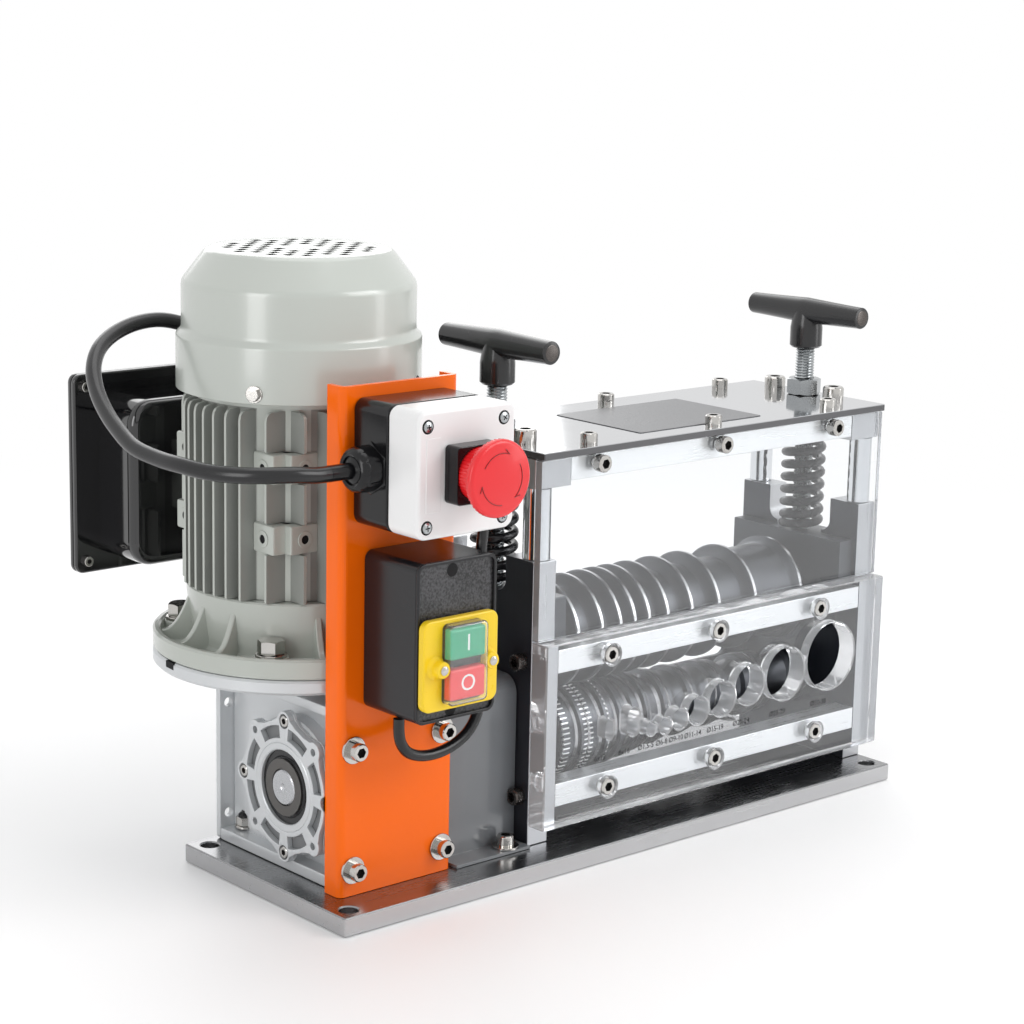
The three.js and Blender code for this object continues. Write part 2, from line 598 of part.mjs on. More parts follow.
// Feed rollers: at each station a groove between two rims, on a common hub
function feedRollersBody() {
  const left = innerLeft + runningGap;
  const right = innerRight - runningGap;
  const flank = rollerFlankShare * leastPitch;
  const points = [[shaftRadius + runningGap, left], [feedRoller.hubRadius, left]];
  stations.forEach(({ x, groove, rim, halfWidth }, i) => {
    const reach = halfWidth + feedRoller.endRim;
    if (i === 0) points.push([feedRoller.hubRadius, x - reach], [rim, x - reach]);
    points.push([rim, x - halfWidth], [groove, x - halfWidth + flank]);
    points.push([groove, x + halfWidth - flank], [rim, x + halfWidth]);
    if (i === stations.length - 1) points.push([rim, x + reach], [feedRoller.hubRadius, x + reach]);
  });
  points.push([feedRoller.hubRadius, right], [shaftRadius + runningGap, right]);
  return turned('x', points, rollerFacets, [0, 0, shaftHeight]);
}

// The spring's centre line, between the bearing block and the end block
function springLine() {
  const low = bearingBlock.top + runningGap + spring.wire / 2;
  const high = blockBottom - runningGap - spring.wire / 2;
  const count = spring.turns * spring.steps;
  const points = [];
  for (let i = 0; i <= count; i += 1) {
    const angle = (2 * Math.PI * i) / spring.steps;
    points.push(new THREE.Vector3(
      spring.radius * Math.cos(angle), spring.radius * Math.sin(angle), low + ((high - low) * i) / count));
  }
  return points;
}

// One unbroken wound wire with straight ends, joined ring by ring
function springBody(x) {
  const centres = springLine();
  const count = centres.length - 1;
  const lead = (from, to) => from.clone().add(from.clone().sub(to).setZ(0).setLength(spring.wire));
  centres.unshift(lead(centres[0], centres[1]));
  centres.push(lead(centres[count + 1], centres[count]));
  const positions = [];
  const indices = [];
  centres.forEach((centre, i) => {
    const ahead = centres[Math.min(i + 1, centres.length - 1)];
    const behind = centres[Math.max(i - 1, 0)];
    const along = ahead.clone().sub(behind).normalize();
    const radial = new THREE.Vector3(centre.x, centre.y, 0);
    const outward = radial.clone().addScaledVector(along, -along.dot(radial)).normalize();
    const upward = along.clone().cross(outward);
    for (let k = 0; k < spring.sides; k += 1) {
      const angle = (2 * Math.PI * k) / spring.sides;
      const corner = centre.clone()
        .addScaledVector(outward, (spring.wire / 2) * Math.cos(angle))
        .addScaledVector(upward, (spring.wire / 2) * Math.sin(angle));
      positions.push(corner.x + x, corner.y, corner.z);
    }
  });
  const rings = centres.length;
  for (let i = 0; i < rings - 1; i += 1) {
    for (let k = 0; k < spring.sides; k += 1) {
      const [a, b] = [i * spring.sides + k, i * spring.sides + ((k + 1) % spring.sides)];
      indices.push(a, b, a + spring.sides, b, b + spring.sides, a + spring.sides);
    }
  }
  const last = (rings - 1) * spring.sides;
  for (let k = 1; k < spring.sides - 1; k += 1) {
    indices.push(0, k + 1, k);
    indices.push(last, last + k, last + k + 1);
  }
  const geometry = new THREE.BufferGeometry();
  geometry.setAttribute('position', new THREE.Float32BufferAttribute(positions, 3));
  geometry.setIndex(indices);
  return solid(geometry);
}

// Least clear distance between two turns, measured on points of the wire's centre line
function springLeastGap() {
  const points = springLine();
  let least = Infinity;
  for (let i = 0; i < points.length; i += 1) {
    for (let j = i + spring.steps / 2; j < points.length; j += 1) {
      least = Math.min(least, points[i].distanceTo(points[j]) - spring.wire);
    }
  }
  return least;
}

// Tee screw: threaded stud, hub and a handle bar that swells towards its middle
function teeScrewBody(x) {
  const low = bearingBlock.top - bearingBlock.studDepth + runningGap;
  const { hubRadius, rise, midRadius, endRadius, halfLength } = teeHandle;
  const axisZ = hubBottom + rise;
  const shank = turned('z', [
    [0, low], [stud.radius, low], [stud.radius, hubBottom], [hubRadius, hubBottom],
    [hubRadius, axisZ - midRadius / 2], [0, axisZ - midRadius / 2],
  ], smallFacets, [x, 0, 0]);
  const bar = turned('y', [
    [0, -halfLength], [endRadius, -halfLength], [endRadius, -halfLength + endRadius / 2],
    [midRadius, -hubRadius], [midRadius, hubRadius],
    [endRadius, halfLength - endRadius / 2], [endRadius, halfLength], [0, halfLength],
  ], smallFacets, [x, 0, axisZ]);
  return joined(shank, bar);
}

function hexagon(acrossFlats) {
  const radius = acrossFlats / 2 / Math.cos(Math.PI / 6);
  return [0, 1, 2, 3, 4, 5].map((i) => {
    const angle = (i * Math.PI) / 3;
    return [radius * Math.cos(angle), radius * Math.sin(angle)];
  });
}

function lockNutBody(x) {
  const outline = polygon(hexagon(lockNut.flats));
  const hole = circle(0, 0, (stud.radius + runningGap) / Math.cos(Math.PI / smallFacets));
  return extruded('z', withHoles(outline, [hole]), [plateTop + seatGap,
    plateTop + seatGap + lockNut.height])
    .translate([x, 0, 0]);
}

// Gearbox housing: bored for wheel and worm, with back pockets round the mounting flange
function gearboxHousing() {
  const { halfWidth, front, back, top } = gearbox;
  const bottom = base.thickness + seatGap;
  const [left, right] = [motorX - halfWidth, motorX + halfWidth];
  const stock = block([left, right], [front, back], [bottom, top]);
  const wheelBore = bore('x', gearbox.wheelBore, [left - overrun, right + overrun], bigFacets,
    [0, 0, shaftHeight]);
  const wormFloor = shaftHeight - gearbox.wormDrop;
  const wormBore = bore('z', gearbox.wormBore, [wormFloor, top + overrun], midFacets, [...motorCentre, 0]);
  const relief = block([left - overrun, right + overrun], [gearbox.reliefFront, gearbox.reliefBack],
    [bottom - overrun, bottom + gearbox.reliefHeight]);
  const pocketSpan = [gearbox.pocketFront, back - gearbox.flangeThickness];
  const pocketHeight = [bottom + gearbox.pocketFloor, top - gearbox.pocketRoof];
  const pockets = [
    block([left - overrun, left + gearbox.pocketDepth], pocketSpan, pocketHeight),
    block([right - gearbox.pocketDepth, right + overrun], pocketSpan, pocketHeight),
  ];
  const bolts = [];
  for (const side of [-1, 1]) {
    for (const z of [gearbox.boltLow, gearbox.boltHigh]) {
      bolts.push(bore('y', gearbox.boltRadius, [pocketSpan[1] - overrun, back + overrun], tinyFacets,
        [motorX + side * gearbox.boltX, 0, z]));
    }
  }
  return cut(stock, wheelBore, wormBore, relief, ...pockets, ...bolts);
}

// Star outline: an arc round each bolt lobe, joined by the web between them
function starOutline() {
  const points = [];
  const arc = 4;
  for (let i = 0; i < cover.lobes; i += 1) {
    const middle = (2 * Math.PI * i) / cover.lobes;
    const lobe = [cover.boltCircle * Math.cos(middle), cover.boltCircle * Math.sin(middle)];
    for (let k = 0; k <= arc; k += 1) {
      const angle = middle + Math.PI * (k / arc - 0.5);
      points.push([lobe[0] + cover.lobeRadius * Math.cos(angle),
        lobe[1] + cover.lobeRadius * Math.sin(angle)]);
    }
    const valley = middle + Math.PI / cover.lobes;
    points.push([cover.webOuter * Math.cos(valley), cover.webOuter * Math.sin(valley)]);
  }
  return points.map(([y, z]) => [y, z + shaftHeight]);
}

// Star-shaped side cover: eight bolt lobes round a boss, with sunk windows between them
function gearboxCover(side) {
  const face = motorX + side * gearbox.halfWidth;
  const outside = face + side * cover.thickness;
  const span = (a, b) => [Math.min(a, b), Math.max(a, b)];
  const centre = [0, 0, shaftHeight];
  const at = (angle, radius) => [radius * Math.cos(angle), shaftHeight + radius * Math.sin(angle)];
  const holes = [];
  const windows = [];
  for (let i = 0; i < cover.lobes; i += 1) {
    const turn = (2 * Math.PI * i) / cover.lobes;
    const middle = turn + Math.PI / cover.lobes;
    holes.push(circle(...at(turn, cover.boltCircle), cover.boltRadius, boltFacets));
    const corner = (way, radius) => at(middle + way * cover.windowSpread, radius);
    windows.push(extruded('x', polygon([
      corner(-1, cover.windowInner), corner(1, cover.windowInner), corner(1, cover.windowOuter),
      corner(-1, cover.windowOuter),
    ]), span(outside - side * cover.windowDepth, outside + side * overrun)));
  }
  const star = extruded('x', withHoles(polygon(starOutline()), holes),
    span(face + side * seatGap, outside));
  const spigot = rod('x', gearbox.wheelBore - runningGap,
    span(face - side * cover.spigotLength, face + (side * cover.thickness) / 3), midFacets, centre);
  const shaftBore = bore('x', wheel.sleeveRadius + runningGap,
    span(face - side * (cover.spigotLength + overrun), outside + side * overrun), midFacets, centre);
  const sealSeat = bore('x', cover.sealRadius, span(outside - side * cover.sealDepth,
    outside + side * overrun),
    midFacets, centre);
  const bracketTrim = block(span(face + side * seatGap, outside + side * overrun),
    [gearbox.front - cover.trim, gearbox.front + cover.trim], [0, gearbox.top]);
  return cut(joined(star, spigot), shaftBore, sealSeat, bracketTrim, ...windows);
}

// Worm wheel with its hollow output shaft
function wormWheel() {
  const [left, right] = [motorX - wheel.halfWidth, motorX + wheel.halfWidth];
  return turned('x', [
    [shaftRadius + runningGap, coverLeft], [wheel.sleeveRadius, coverLeft], [wheel.sleeveRadius, left],
    [wheel.radius, left], [wheel.radius, right], [wheel.sleeveRadius, right],
    [wheel.sleeveRadius, coverRight], [shaftRadius + runningGap, coverRight],
  ], midFacets, [0, 0, shaftHeight]);
}

// Worm with a socket that takes the motor shaft
function wormBody() {
  const foot = shaftHeight - gearbox.wormDrop + runningGap;
  const [low, high] = [shaftHeight - worm.halfLength, shaftHeight + worm.halfLength];
  const sleeveTop = flangeInBottom - worm.sleeveGap;
  const socket = motorShaftRadius + runningGap;
  return turned('z', [
    [0, foot], [worm.journalRadius, foot], [worm.journalRadius, low], [worm.radius, low],
    [worm.radius, high], [worm.sleeveRadius, high], [worm.sleeveRadius, sleeveTop],
    [socket, sleeveTop], [socket, wormSocketFloor], [0, wormSocketFloor],
  ], smallFacets, [...motorCentre, 0]);
}

function inputFlange() {
  const low = gearbox.top + seatGap;
  const body = turned('z', [
    [gearbox.wormBore, low], [flangeIn.neckRadius, low], [flangeIn.neckRadius, flangeInBottom],
    [flangeIn.radius, flangeInBottom], [flangeIn.radius, flangeInTop], [gearbox.wormBore, flangeInTop],
  ], bigFacets, [...motorCentre, 0]);
  const edge = motorX - flangeIn.radius * Math.SQRT1_2;
  const notchY = motorY - flangeIn.radius * Math.SQRT1_2;
  const notch = block([edge - flangeIn.notchHalf, edge + flangeIn.notchHalf],
    [notchY - flangeIn.notchHalf, notchY + flangeIn.notchDepth],
    [flangeInBottom - overrun, flangeInTop + overrun]);
  return cut(body, notch);
}

// Motor's drive end: dished flange, bell and the gussets between them
function motorFlangeBody() {
  const low = motorFlangeBottom;
  const floor = low + motorFlange.floor;
  const { rimWidth, rimHeight, bellBottomRadius, bellTopRadius, bellHeight, wall } = motorFlange;
  const top = low + bellHeight;
  const shell = turned('z', [
    [motorShaftRadius + runningGap, low], [flangeIn.radius, low], [flangeIn.radius, low + rimHeight],
    [flangeIn.radius - rimWidth, low + rimHeight], [flangeIn.radius - rimWidth, floor],
    [bellBottomRadius, floor],
    [bellTopRadius, top], [bellTopRadius - wall, top], [bellBottomRadius - wall, floor + wall],
    [motorShaftRadius + runningGap, floor + wall],
  ], bigFacets, [...motorCentre, 0]);
  const gussetTop = floor + motorFlange.gussetHeight;
  const rib = extruded('y', polygon([
    [bellBottomRadius - wall / 2, floor - overrun], [flangeIn.radius - rimWidth / 2, floor - overrun],
    [flangeIn.radius - rimWidth / 2, low + rimHeight], [bellBottomRadius + rimWidth / 2, gussetTop],
    [bellBottomRadius - wall / 2, gussetTop],
  ]), [-motorFlange.gussetHalf, motorFlange.gussetHalf]);
  const ribs = [];
  for (let i = 0; i < motorFlange.gussets; i += 1) {
    ribs.push(rib.rotate([0, 0, ((i + 0.5) * 360) / motorFlange.gussets]).translate([...motorCentre, 0]));
  }
  return joined(shell, ...ribs);
}

// Finned outline of the motor frame: parallel fins on each of four sides of a round barrel
function finnedOutline() {
  const points = [];
  for (let quarter = 0; quarter < 4; quarter += 1) {
    const pitch = quarter % 2 === 0 ? frame.sideFinPitch : frame.frontFinPitch;
    const turn = (quarter * Math.PI) / 2;
    const add = (radius, offset) => {
      const reach = Math.sqrt(radius * radius - offset * offset);
      points.push([
        reach * Math.cos(turn) - offset * Math.sin(turn), reach * Math.sin(turn) + offset * Math.cos(turn),
      ]);
    };
    for (const share of finPlaceShares) {
      const offset = share * pitch;
      add(frame.rootRadius, offset - frame.finHalf);
      add(frame.finRadius, offset - frame.finHalf);
      add(frame.finRadius, offset + frame.finHalf);
      add(frame.rootRadius, offset + frame.finHalf);
    }
    const corner = turn + Math.PI / 4;
    points.push([frame.rootRadius * Math.cos(corner), frame.rootRadius * Math.sin(corner)]);
  }
  return polygon(points);
}

// Two foot-mounting pads beside each corner of the frame, at two heights
function motorPads() {
  const inside = frame.rootRadius / 2;
  const solids = [];
  const cutters = [];
  for (const share of padBottomShares) {
    const low = frameBottom + share * frame.length;
    for (const u of [-1, 1]) {
      for (const v of [-1, 1]) {
        const span = (a, b, side) => [Math.min(a * side, b * side), Math.max(a * side, b * side)];
        const heights = [low, low + pad.height];
        const sideOffsets = span(pad.sideInner, pad.sideOuter, v);
        const frontOffsets = span(pad.frontInner, pad.frontOuter, u);
        solids.push(block(span(inside, pad.outer, u), sideOffsets, heights));
        solids.push(block(frontOffsets, span(inside, pad.outer, v), heights));
        cutters.push(block(span(pad.outer, frame.finRadius + overrun, u), sideOffsets, heights));
        cutters.push(block(frontOffsets, span(pad.outer, frame.finRadius + overrun, v), heights));
      }
    }
  }
  return { solids, cutters };
}

function motorFrameBody() {
  const shape = withHoles(finnedOutline(), [circle(0, 0, frame.bore / Math.cos(Math.PI / bigFacets),
    bigFacets)]);
  const barrel = extruded('z', shape, [frameBottom, frameTop]);
  const finTop = frameTop - frame.collarHeight;
  const [inner, middle, outer] = [frame.rootRadius + overrun, frame.finRadius + overrun,
    frame.finRadius + frame.chamfer];
  const bevel = turned('z', [
    [inner, frameTop + overrun], [inner, finTop], [middle, finTop - frame.chamfer],
    [outer, finTop - frame.chamfer],
    [outer, frameTop + overrun],
  ], tinyFacets);
  const { solids, cutters } = motorPads();
  const seatFace = frame.finRadius + tray.finGap - seatGap;
  const seatMiddle = (trayBottom + trayTop) / 2;
  const seat = block([-terminalSeat.halfWidth, terminalSeat.halfWidth],
    [seatFace - terminalSeat.depth, seatFace],
    [seatMiddle - terminalSeat.halfHeight, seatMiddle + terminalSeat.halfHeight]);
  return cut(joined(barrel, ...solids, seat), bevel, ...cutters).translate([...motorCentre, 0]);
}

function rotorBody() {
  const foot = wormSocketFloor + runningGap;
  const [coreBottom, coreTop] = [frameBottom + rotor.bottomGap, frameTop - rotor.topGap];
  const top = coverBottom + shield.thickness + shield.hubHeight + runningGap + fan.height;
  return turned('z', [
    [0, foot], [motorShaftRadius, foot], [motorShaftRadius, coreBottom], [rotor.radius, coreBottom],
    [rotor.radius, coreTop], [motorShaftRadius, coreTop], [motorShaftRadius, top], [0, top],
  ], midFacets, [...motorCentre, 0]);
}

function rearShield() {
  const low = coverBottom;
  const high = low + shield.thickness;
  const outer = fanCover.skirtRadius - fanCover.wall - runningGap;
  return turned('z', [
    [motorShaftRadius + runningGap, low], [outer, low], [outer, high], [shield.hubRadius, high],
    [shield.hubRadius, high + shield.hubHeight], [motorShaftRadius + runningGap, high + shield.hubHeight],
  ], bigFacets, [...motorCentre, 0]);
}

function coolingFan() {
  const low = coverBottom + shield.thickness + shield.hubHeight + runningGap;
  const high = low + fan.height;
  const inner = motorShaftRadius + runningGap;
  const hub = turned('z', [
    [inner, low], [fan.plateRadius, low], [fan.plateRadius, low + fan.plate],
    [fan.hubRadius, low + fan.plate],
    [fan.hubRadius, high], [inner, high],
  ], smallFacets, [...motorCentre, 0]);
  const vane = block([(inner + fan.hubRadius) / 2, fan.radius], [-fan.bladeHalf, fan.bladeHalf],
    [low, high]);
  const vanes = [];
  for (let i = 0; i < fan.blades; i += 1) {
    vanes.push(vane.rotate([0, 0, (i * 360) / fan.blades]).translate([...motorCentre, 0]));
  }
  return joined(hub, ...vanes);
}

// Fan cover: pressed cap whose top is pierced in a chequer of square holes
function fanCoverBody() {
  const { skirtRadius, skirtHeight, bodyRadius, bodyHeight, crownRadius, height, wall, ledge } = fanCover;
  const skirtTop = coverBottom + skirtHeight;
  const bodyTop = coverBottom + bodyHeight;
  const top = coverBottom + height;
  const cap = turned('z', [
    [0, top], [crownRadius, top], [bodyRadius, bodyTop], [bodyRadius, skirtTop + ledge],
    [skirtRadius, skirtTop],
    [skirtRadius, coverBottom], [skirtRadius - wall, coverBottom], [skirtRadius - wall, skirtTop - wall],
    [bodyRadius - wall, skirtTop - wall + ledge], [bodyRadius - wall, bodyTop - wall / 2],
    [crownRadius - wall / 2, top - wall], [0, top - wall],
  ], bigFacets, [...motorCentre, 0]);
  const holes = [];
  const reach = Math.floor(fanCover.grilleRadius / fanCover.cell);
  for (let i = -reach; i <= reach; i += 1) {
    for (let j = -reach; j <= reach; j += 1) {
      const [u, v] = [i * fanCover.cell, j * fanCover.cell];
      const distance = Math.hypot(u, v);
      const inside = distance + fanCover.holeHalf < fanCover.grilleRadius;
      if ((i + j) % 2 === 0 && inside && distance > fanCover.dimpleRadius + fanCover.holeHalf) {
        const h = fanCover.holeHalf;
        holes.push(polygon([[u - h, v - h], [u + h, v - h], [u + h, v + h], [u - h, v + h]]));
      }
    }
  }
  const cutter = joined(...holes.map((hole) => extruded('z', hole, [top - wall - overrun, top + overrun])));
  const dimple = rod('z', fanCover.dimpleRadius, [top - fanCover.dimpleDepth, top + overrun], smallFacets,
    [...motorCentre, 0]);
  return cut(cap, cutter.translate([...motorCentre, 0]), dimple);
}

// Capacitor box: deep-drawn tray with a wide flange, bulging towards the motor, and a flat lid
function trayFlange(span) {
  const half = tray.halfWidth + tray.flangeSide;
  const heights = [trayBottom - tray.flangeDrop, trayTop + tray.flangeRise];
  return extruded('y', rounded([motorX - half, motorX + half], heights, tray.corner), span, cornerFacets);
}

function capacitorTray() {
  const { halfWidth, wall, corner, lip } = tray;
  const tub = extruded('y', rounded([motorX - halfWidth, motorX + halfWidth], [trayBottom, trayTop],
    corner),
    [trayFront, trayBack], cornerFacets);
  const inside = extruded('y', rounded([motorX - halfWidth + wall, motorX + halfWidth - wall],
    [trayBottom + wall, trayTop - wall], corner - wall), [trayFront + wall, trayBack + overrun],
    cornerFacets);
  return cut(joined(tub, trayFlange([trayBack - lip, trayBack])), inside);
}

const capacitorLid = () => trayFlange([trayBack + seatGap, trayBack + seatGap + lid.thickness]);

function capacitorBody() {
  const y = trayFront + tray.wall + runningGap + capacitor.radius;
  const z = trayBottom + tray.wall + runningGap + capacitor.radius;
  const span = [motorX - capacitor.halfLength, motorX + capacitor.halfLength];
  return rod('x', capacitor.radius, span, smallFacets, [0, y, z]);
}

// Folded orange channel that carries the controls
function controlBracket() {
  const { halfWidth, front, sheet, flange, topRise, bend } = bracket;
  const [left, right] = [motorX - halfWidth, motorX + halfWidth];
  const back = front + flange;
  const top = estopZ + estop.halfHeight + topRise;
  const shape = new THREE.Shape();
  shape.moveTo(left, back);
  shape.lineTo(left, front + bend);
  shape.absarc(left + bend, front + bend, bend, Math.PI, 1.5 * Math.PI);
  shape.lineTo(right - bend, front);
  shape.absarc(right - bend, front + bend, bend, -Math.PI / 2, 0);
  shape.lineTo(right, back);
  shape.lineTo(right - sheet, back);
  shape.lineTo(right - sheet, front + bend);
  shape.absarc(right - bend, front + bend, bend - sheet, 0, -Math.PI / 2, true);
  shape.lineTo(left + bend, front + sheet);
  shape.absarc(left + bend, front + bend, bend - sheet, 1.5 * Math.PI, Math.PI, true);
  shape.lineTo(left + sheet, back);
  const channel = extruded('z', shape, [base.thickness + seatGap, top], cornerFacets + 1);
  const holes = [];
  for (const side of [-1, 1]) {
    for (const z of [bracket.boltLow, bracket.boltHigh]) {
      holes.push(bore('y', bracket.boltRadius, [front - overrun, front + sheet + overrun], tinyFacets,
        [motorX + side * bracket.boltHalf, 0, z]));
    }
  }
  return cut(channel, ...holes);
}

// Emergency-stop box: base and cover are shells that meet face to face
function estopBlock(half, span) {
  const { halfWidth, halfHeight, corner } = estop;
  const trim = halfWidth - half;
  const shape = rounded([estopX - half, estopX + half], [estopZ - halfHeight + trim,
    estopZ + halfHeight - trim],
    corner - trim);
  return extruded('y', shape, span, cornerFacets);
}

function estopBase() {
  const [from, to] = [estopSplit + seatGap, boxBack];
  const inside = estopBlock(estop.halfWidth - estop.wall, [from - overrun, to - estop.wall]);
  const port = bore('x', gland.shankRadius + runningGap, [estopLeft - overrun,
    estopLeft + estop.wall + overrun],
    smallFacets, [0, motorCableRoute[0][1], glandZ]);
  return cut(estopBlock(estop.halfWidth, [from, to]), inside, port);
}

function estopCover() {
  const inside = estopBlock(estop.halfWidth - estop.wall, [estopFace + estop.wall, estopSplit + overrun]);
  const stemBore = bore('y', estop.stemRadius + runningGap, [estopFace - overrun, estopSplit], midFacets,
    [estopX, 0, estopZ]);
  return cut(estopBlock(estop.halfWidth, [estopFace, estopSplit]), inside, stemBore);
}

function estopCollar() {
  const half = estop.collarHalf;
  const shape = rounded([estopX - half, estopX + half], [estopZ - half, estopZ + half],
    estop.collarCorner);
  const hole = circle(estopX, estopZ, (estop.stemRadius + runningGap) / Math.cos(Math.PI / midFacets),
    midFacets);
  return extruded('y', withHoles(shape, [hole]), [collarFace, estopFace - seatGap], cornerFacets);
}

function estopStem() {
  const span = [headBack + runningGap, estopFace + estop.coverDepth / 2];
  return rod('y', estop.stemRadius, span, midFacets, [estopX, 0, estopZ]);
}

function estopHead() {
  const { radius, neckRadius, neckLength, flare, rim, crown } = mushroom;
  const neck = headBack - neckLength;
  const under = neck - flare;
  const face = under - rim;
  return turned('y', [
    [0, headBack], [neckRadius, headBack], [neckRadius, neck], [radius - rim / 2, under],
    [radius, under - rim / 2],
    [radius, face], [radius * Math.sqrt(crownShare), face - crown * crownShare],
    [(radius * crownShare) / 2, face - crown], [0, face - crown],
  ], midFacets, [estopX, 0, estopZ]);
}

function cableGland() {
  const face = estopLeft - seatGap;
  const place = [0, motorCableRoute[0][1], glandZ];
  const nut = extruded('x', polygon(hexagon(gland.flats)), [face - gland.nutLength, face]).translate(place);
  const domeEnd = face - gland.nutLength - gland.domeLength;
  const tip = motorX + motorCableRoute[0][0] + runningGap;
  const insideEnd = estopLeft + estop.wall + gland.inside;
  const body = turned('x', [
    [0, tip], [gland.tipRadius - gland.chamfer, tip], [gland.tipRadius, tip + gland.chamfer],
    [gland.domeRadius, domeEnd], [gland.domeRadius, face - gland.chamfer],
    [gland.shankRadius, face - gland.chamfer],
    [gland.shankRadius, insideEnd], [0, insideEnd],
  ], smallFacets, place);
  return joined(nut, body);
}

// Switch box: a shell open to the bracket, with a raised rim and a window for the switch
function switchBoxBody() {
  const { halfWidth, bottom, height, wall, corner, rim, rimWidth } = switchBox;
  const slab = (trim, radius, span) => extruded('y', rounded([switchBoxX - halfWidth + trim,
    switchBoxX + halfWidth - trim],
    [bottom + trim, bottom + height - trim], radius), span, cornerFacets);
  const inner = slab(wall, corner - wall, [switchFace + wall, boxBack + overrun]);
  const recess = slab(rimWidth, corner - rim, [switchFace - overrun, switchFace + rim]);
  const half = buttons.halfWidth + runningGap;
  const window = block([buttonX - half, buttonX + half], [switchFace - overrun,
    switchFace + wall + overrun], lensSpan);
  return cut(slab(0, corner, [switchFace, boxBack]), inner, recess, window);
}

function switchFrameBody() {
  const { halfWidth, drop, rise, corner } = switchFrame;
  const half = buttons.halfWidth + runningGap;
  const [low, high] = [lensSpan[0] + lens.wall, lensSpan[1] - lens.wall];
  const window = polygon([[buttonX - half, low], [buttonX + half, low], [buttonX + half, high],
    [buttonX - half, high]]);
  const outline = rounded([buttonX - halfWidth, buttonX + halfWidth], [buttonZ - drop, buttonZ + rise],
    corner);
  const bezel = extruded('y', withHoles(outline, [window]), [bezelFace, bezelBack], cornerFacets * 2);
  const posts = [-1, 1].map((side) => rod('y', switchPost.radius,
    [bezelFace - switchPost.length, bezelFace + overrun],
    tinyFacets, [buttonX + side * switchPost.offset, 0, buttonZ]));
  return joined(bezel, ...posts);
}

function switchLens() {
  const half = buttons.halfWidth + runningGap;
  const { wall } = lens;
  const outer = block([buttonX - half - wall, buttonX + half + wall], [lensFace, bezelFace - seatGap],
    lensSpan);
  const inner = block([buttonX - half, buttonX + half], [lensFace + wall, bezelFace],
    [lensSpan[0] + wall, lensSpan[1] - wall]);
  return cut(outer, inner);
}

function pushButton([bottom, top]) {
  const face = lensFace + lens.wall + runningGap;
  return block([buttonX - buttons.halfWidth, buttonX + buttons.halfWidth],
    [face, face + buttons.length + buttons.travel], [bottom, top]);
}

// Folded cover with feet on the base plate
function tunnelCover() {
  const { halfWidth, top, sheet, bend, footHalf } = tunnel;
  const floor = base.thickness + seatGap;
  const inner = halfWidth - sheet;
  const shape = new THREE.Shape();
  shape.moveTo(-footHalf, floor);
  shape.lineTo(-inner, floor);
  shape.lineTo(-inner, top - bend);
  shape.absarc(-halfWidth + bend, top - bend, bend - sheet, Math.PI, Math.PI / 2, true);
  shape.lineTo(halfWidth - bend, top - sheet);
  shape.absarc(halfWidth - bend, top - bend, bend - sheet, Math.PI / 2, 0, true);
  shape.lineTo(inner, floor);
  shape.lineTo(footHalf, floor);
  shape.lineTo(footHalf, floor + sheet);
  shape.lineTo(halfWidth, floor + sheet);
  shape.lineTo(halfWidth, top - bend);
  shape.absarc(halfWidth - bend, top - bend, bend, 0, Math.PI / 2);
  shape.lineTo(-halfWidth + bend, top);
  shape.absarc(-halfWidth + bend, top - bend, bend, Math.PI / 2, Math.PI);
  shape.lineTo(-halfWidth, floor + sheet);
  shape.lineTo(-footHalf, floor + sheet);
  return extruded('x', shape, [coverRight + tunnel.endGap, headLeft - tunnel.endGap], cornerFacets * 2);
}

// The assembly
piece('base_plate', 'plateSteel', basePlate());
piece('end_plate_left', 'darkSteel', endPlateBody(headLeft));
piece('end_plate_right', 'darkSteel', endPlateBody(innerRight));
for (const [side, x] of [['left', headLeft + endPlate.thickness / 2],
  ['right', headRight - endPlate.thickness / 2]]) {
  piece(`guide_post_front_${side}`, 'chrome', guidePost(x, -post.y));
  piece(`guide_post_back_${side}`, 'chrome', guidePost(x, post.y));
}
piece('end_block_left', 'plateSteel', endBlockBody(headLeft, headLeft + endPlate.thickness / 2, studX[0]));
piece('end_block_right', 'plateSteel',
  endBlockBody(headRight - endBlock.length, headRight - endPlate.thickness / 2, studX[1]));
piece('top_bar_front', 'brushedAluminium', topBarBody(-1));
piece('top_bar_back', 'brushedAluminium', topBarBody(1));
piece('top_plate', 'plateSteel', topPlateBody());
piece('tie_bar_upper', 'brushedAluminium', tieBarBody(tieBar.upperZ));
piece('tie_bar_lower', 'brushedAluminium', tieBarBody(tieBar.lowerZ));
piece('feed_guard', 'clear', feedGuardBody());
piece('upper_guard', 'clear', upperGuardBody());
piece('back_guard', 'darkSteel', backGuardBody());
piece('bearing_block_left', 'darkSteel', bearingBlockBody(-1));
piece('bearing_block_right', 'darkSteel', bearingBlockBody(1));
piece('blade_shaft', 'rollerSteel', bladeShaftBody());
piece('blade_stack', 'rollerSteel', bladeStackBody());
piece('feed_shaft', 'rollerSteel', feedShaftBody());
piece('feed_rollers', 'rollerSteel', feedRollersBody());
['left', 'right'].forEach((side, i) => {
  piece(`pressure_spring_${side}`, 'blackSteel', springBody(studX[i]));
  piece(`tee_screw_${side}`, 'blackPlastic', teeScrewBody(studX[i]));
  piece(`lock_nut_${side}`, 'zinc', lockNutBody(studX[i]));
});
piece('gearbox_housing', 'castAluminium', gearboxHousing());
piece('gearbox_cover_left', 'castAluminium', gearboxCover(-1));
piece('gearbox_cover_right', 'castAluminium', gearboxCover(1));
piece('worm_wheel', 'bronze', wormWheel());
piece('worm', 'rollerSteel', wormBody());
piece('input_flange', 'castAluminium', inputFlange());
piece('motor_flange', 'motorGrey', motorFlangeBody());
piece('motor_frame', 'motorGrey', motorFrameBody());
piece('rotor', 'copper', rotorBody());
piece('rear_end_shield', 'castAluminium', rearShield());
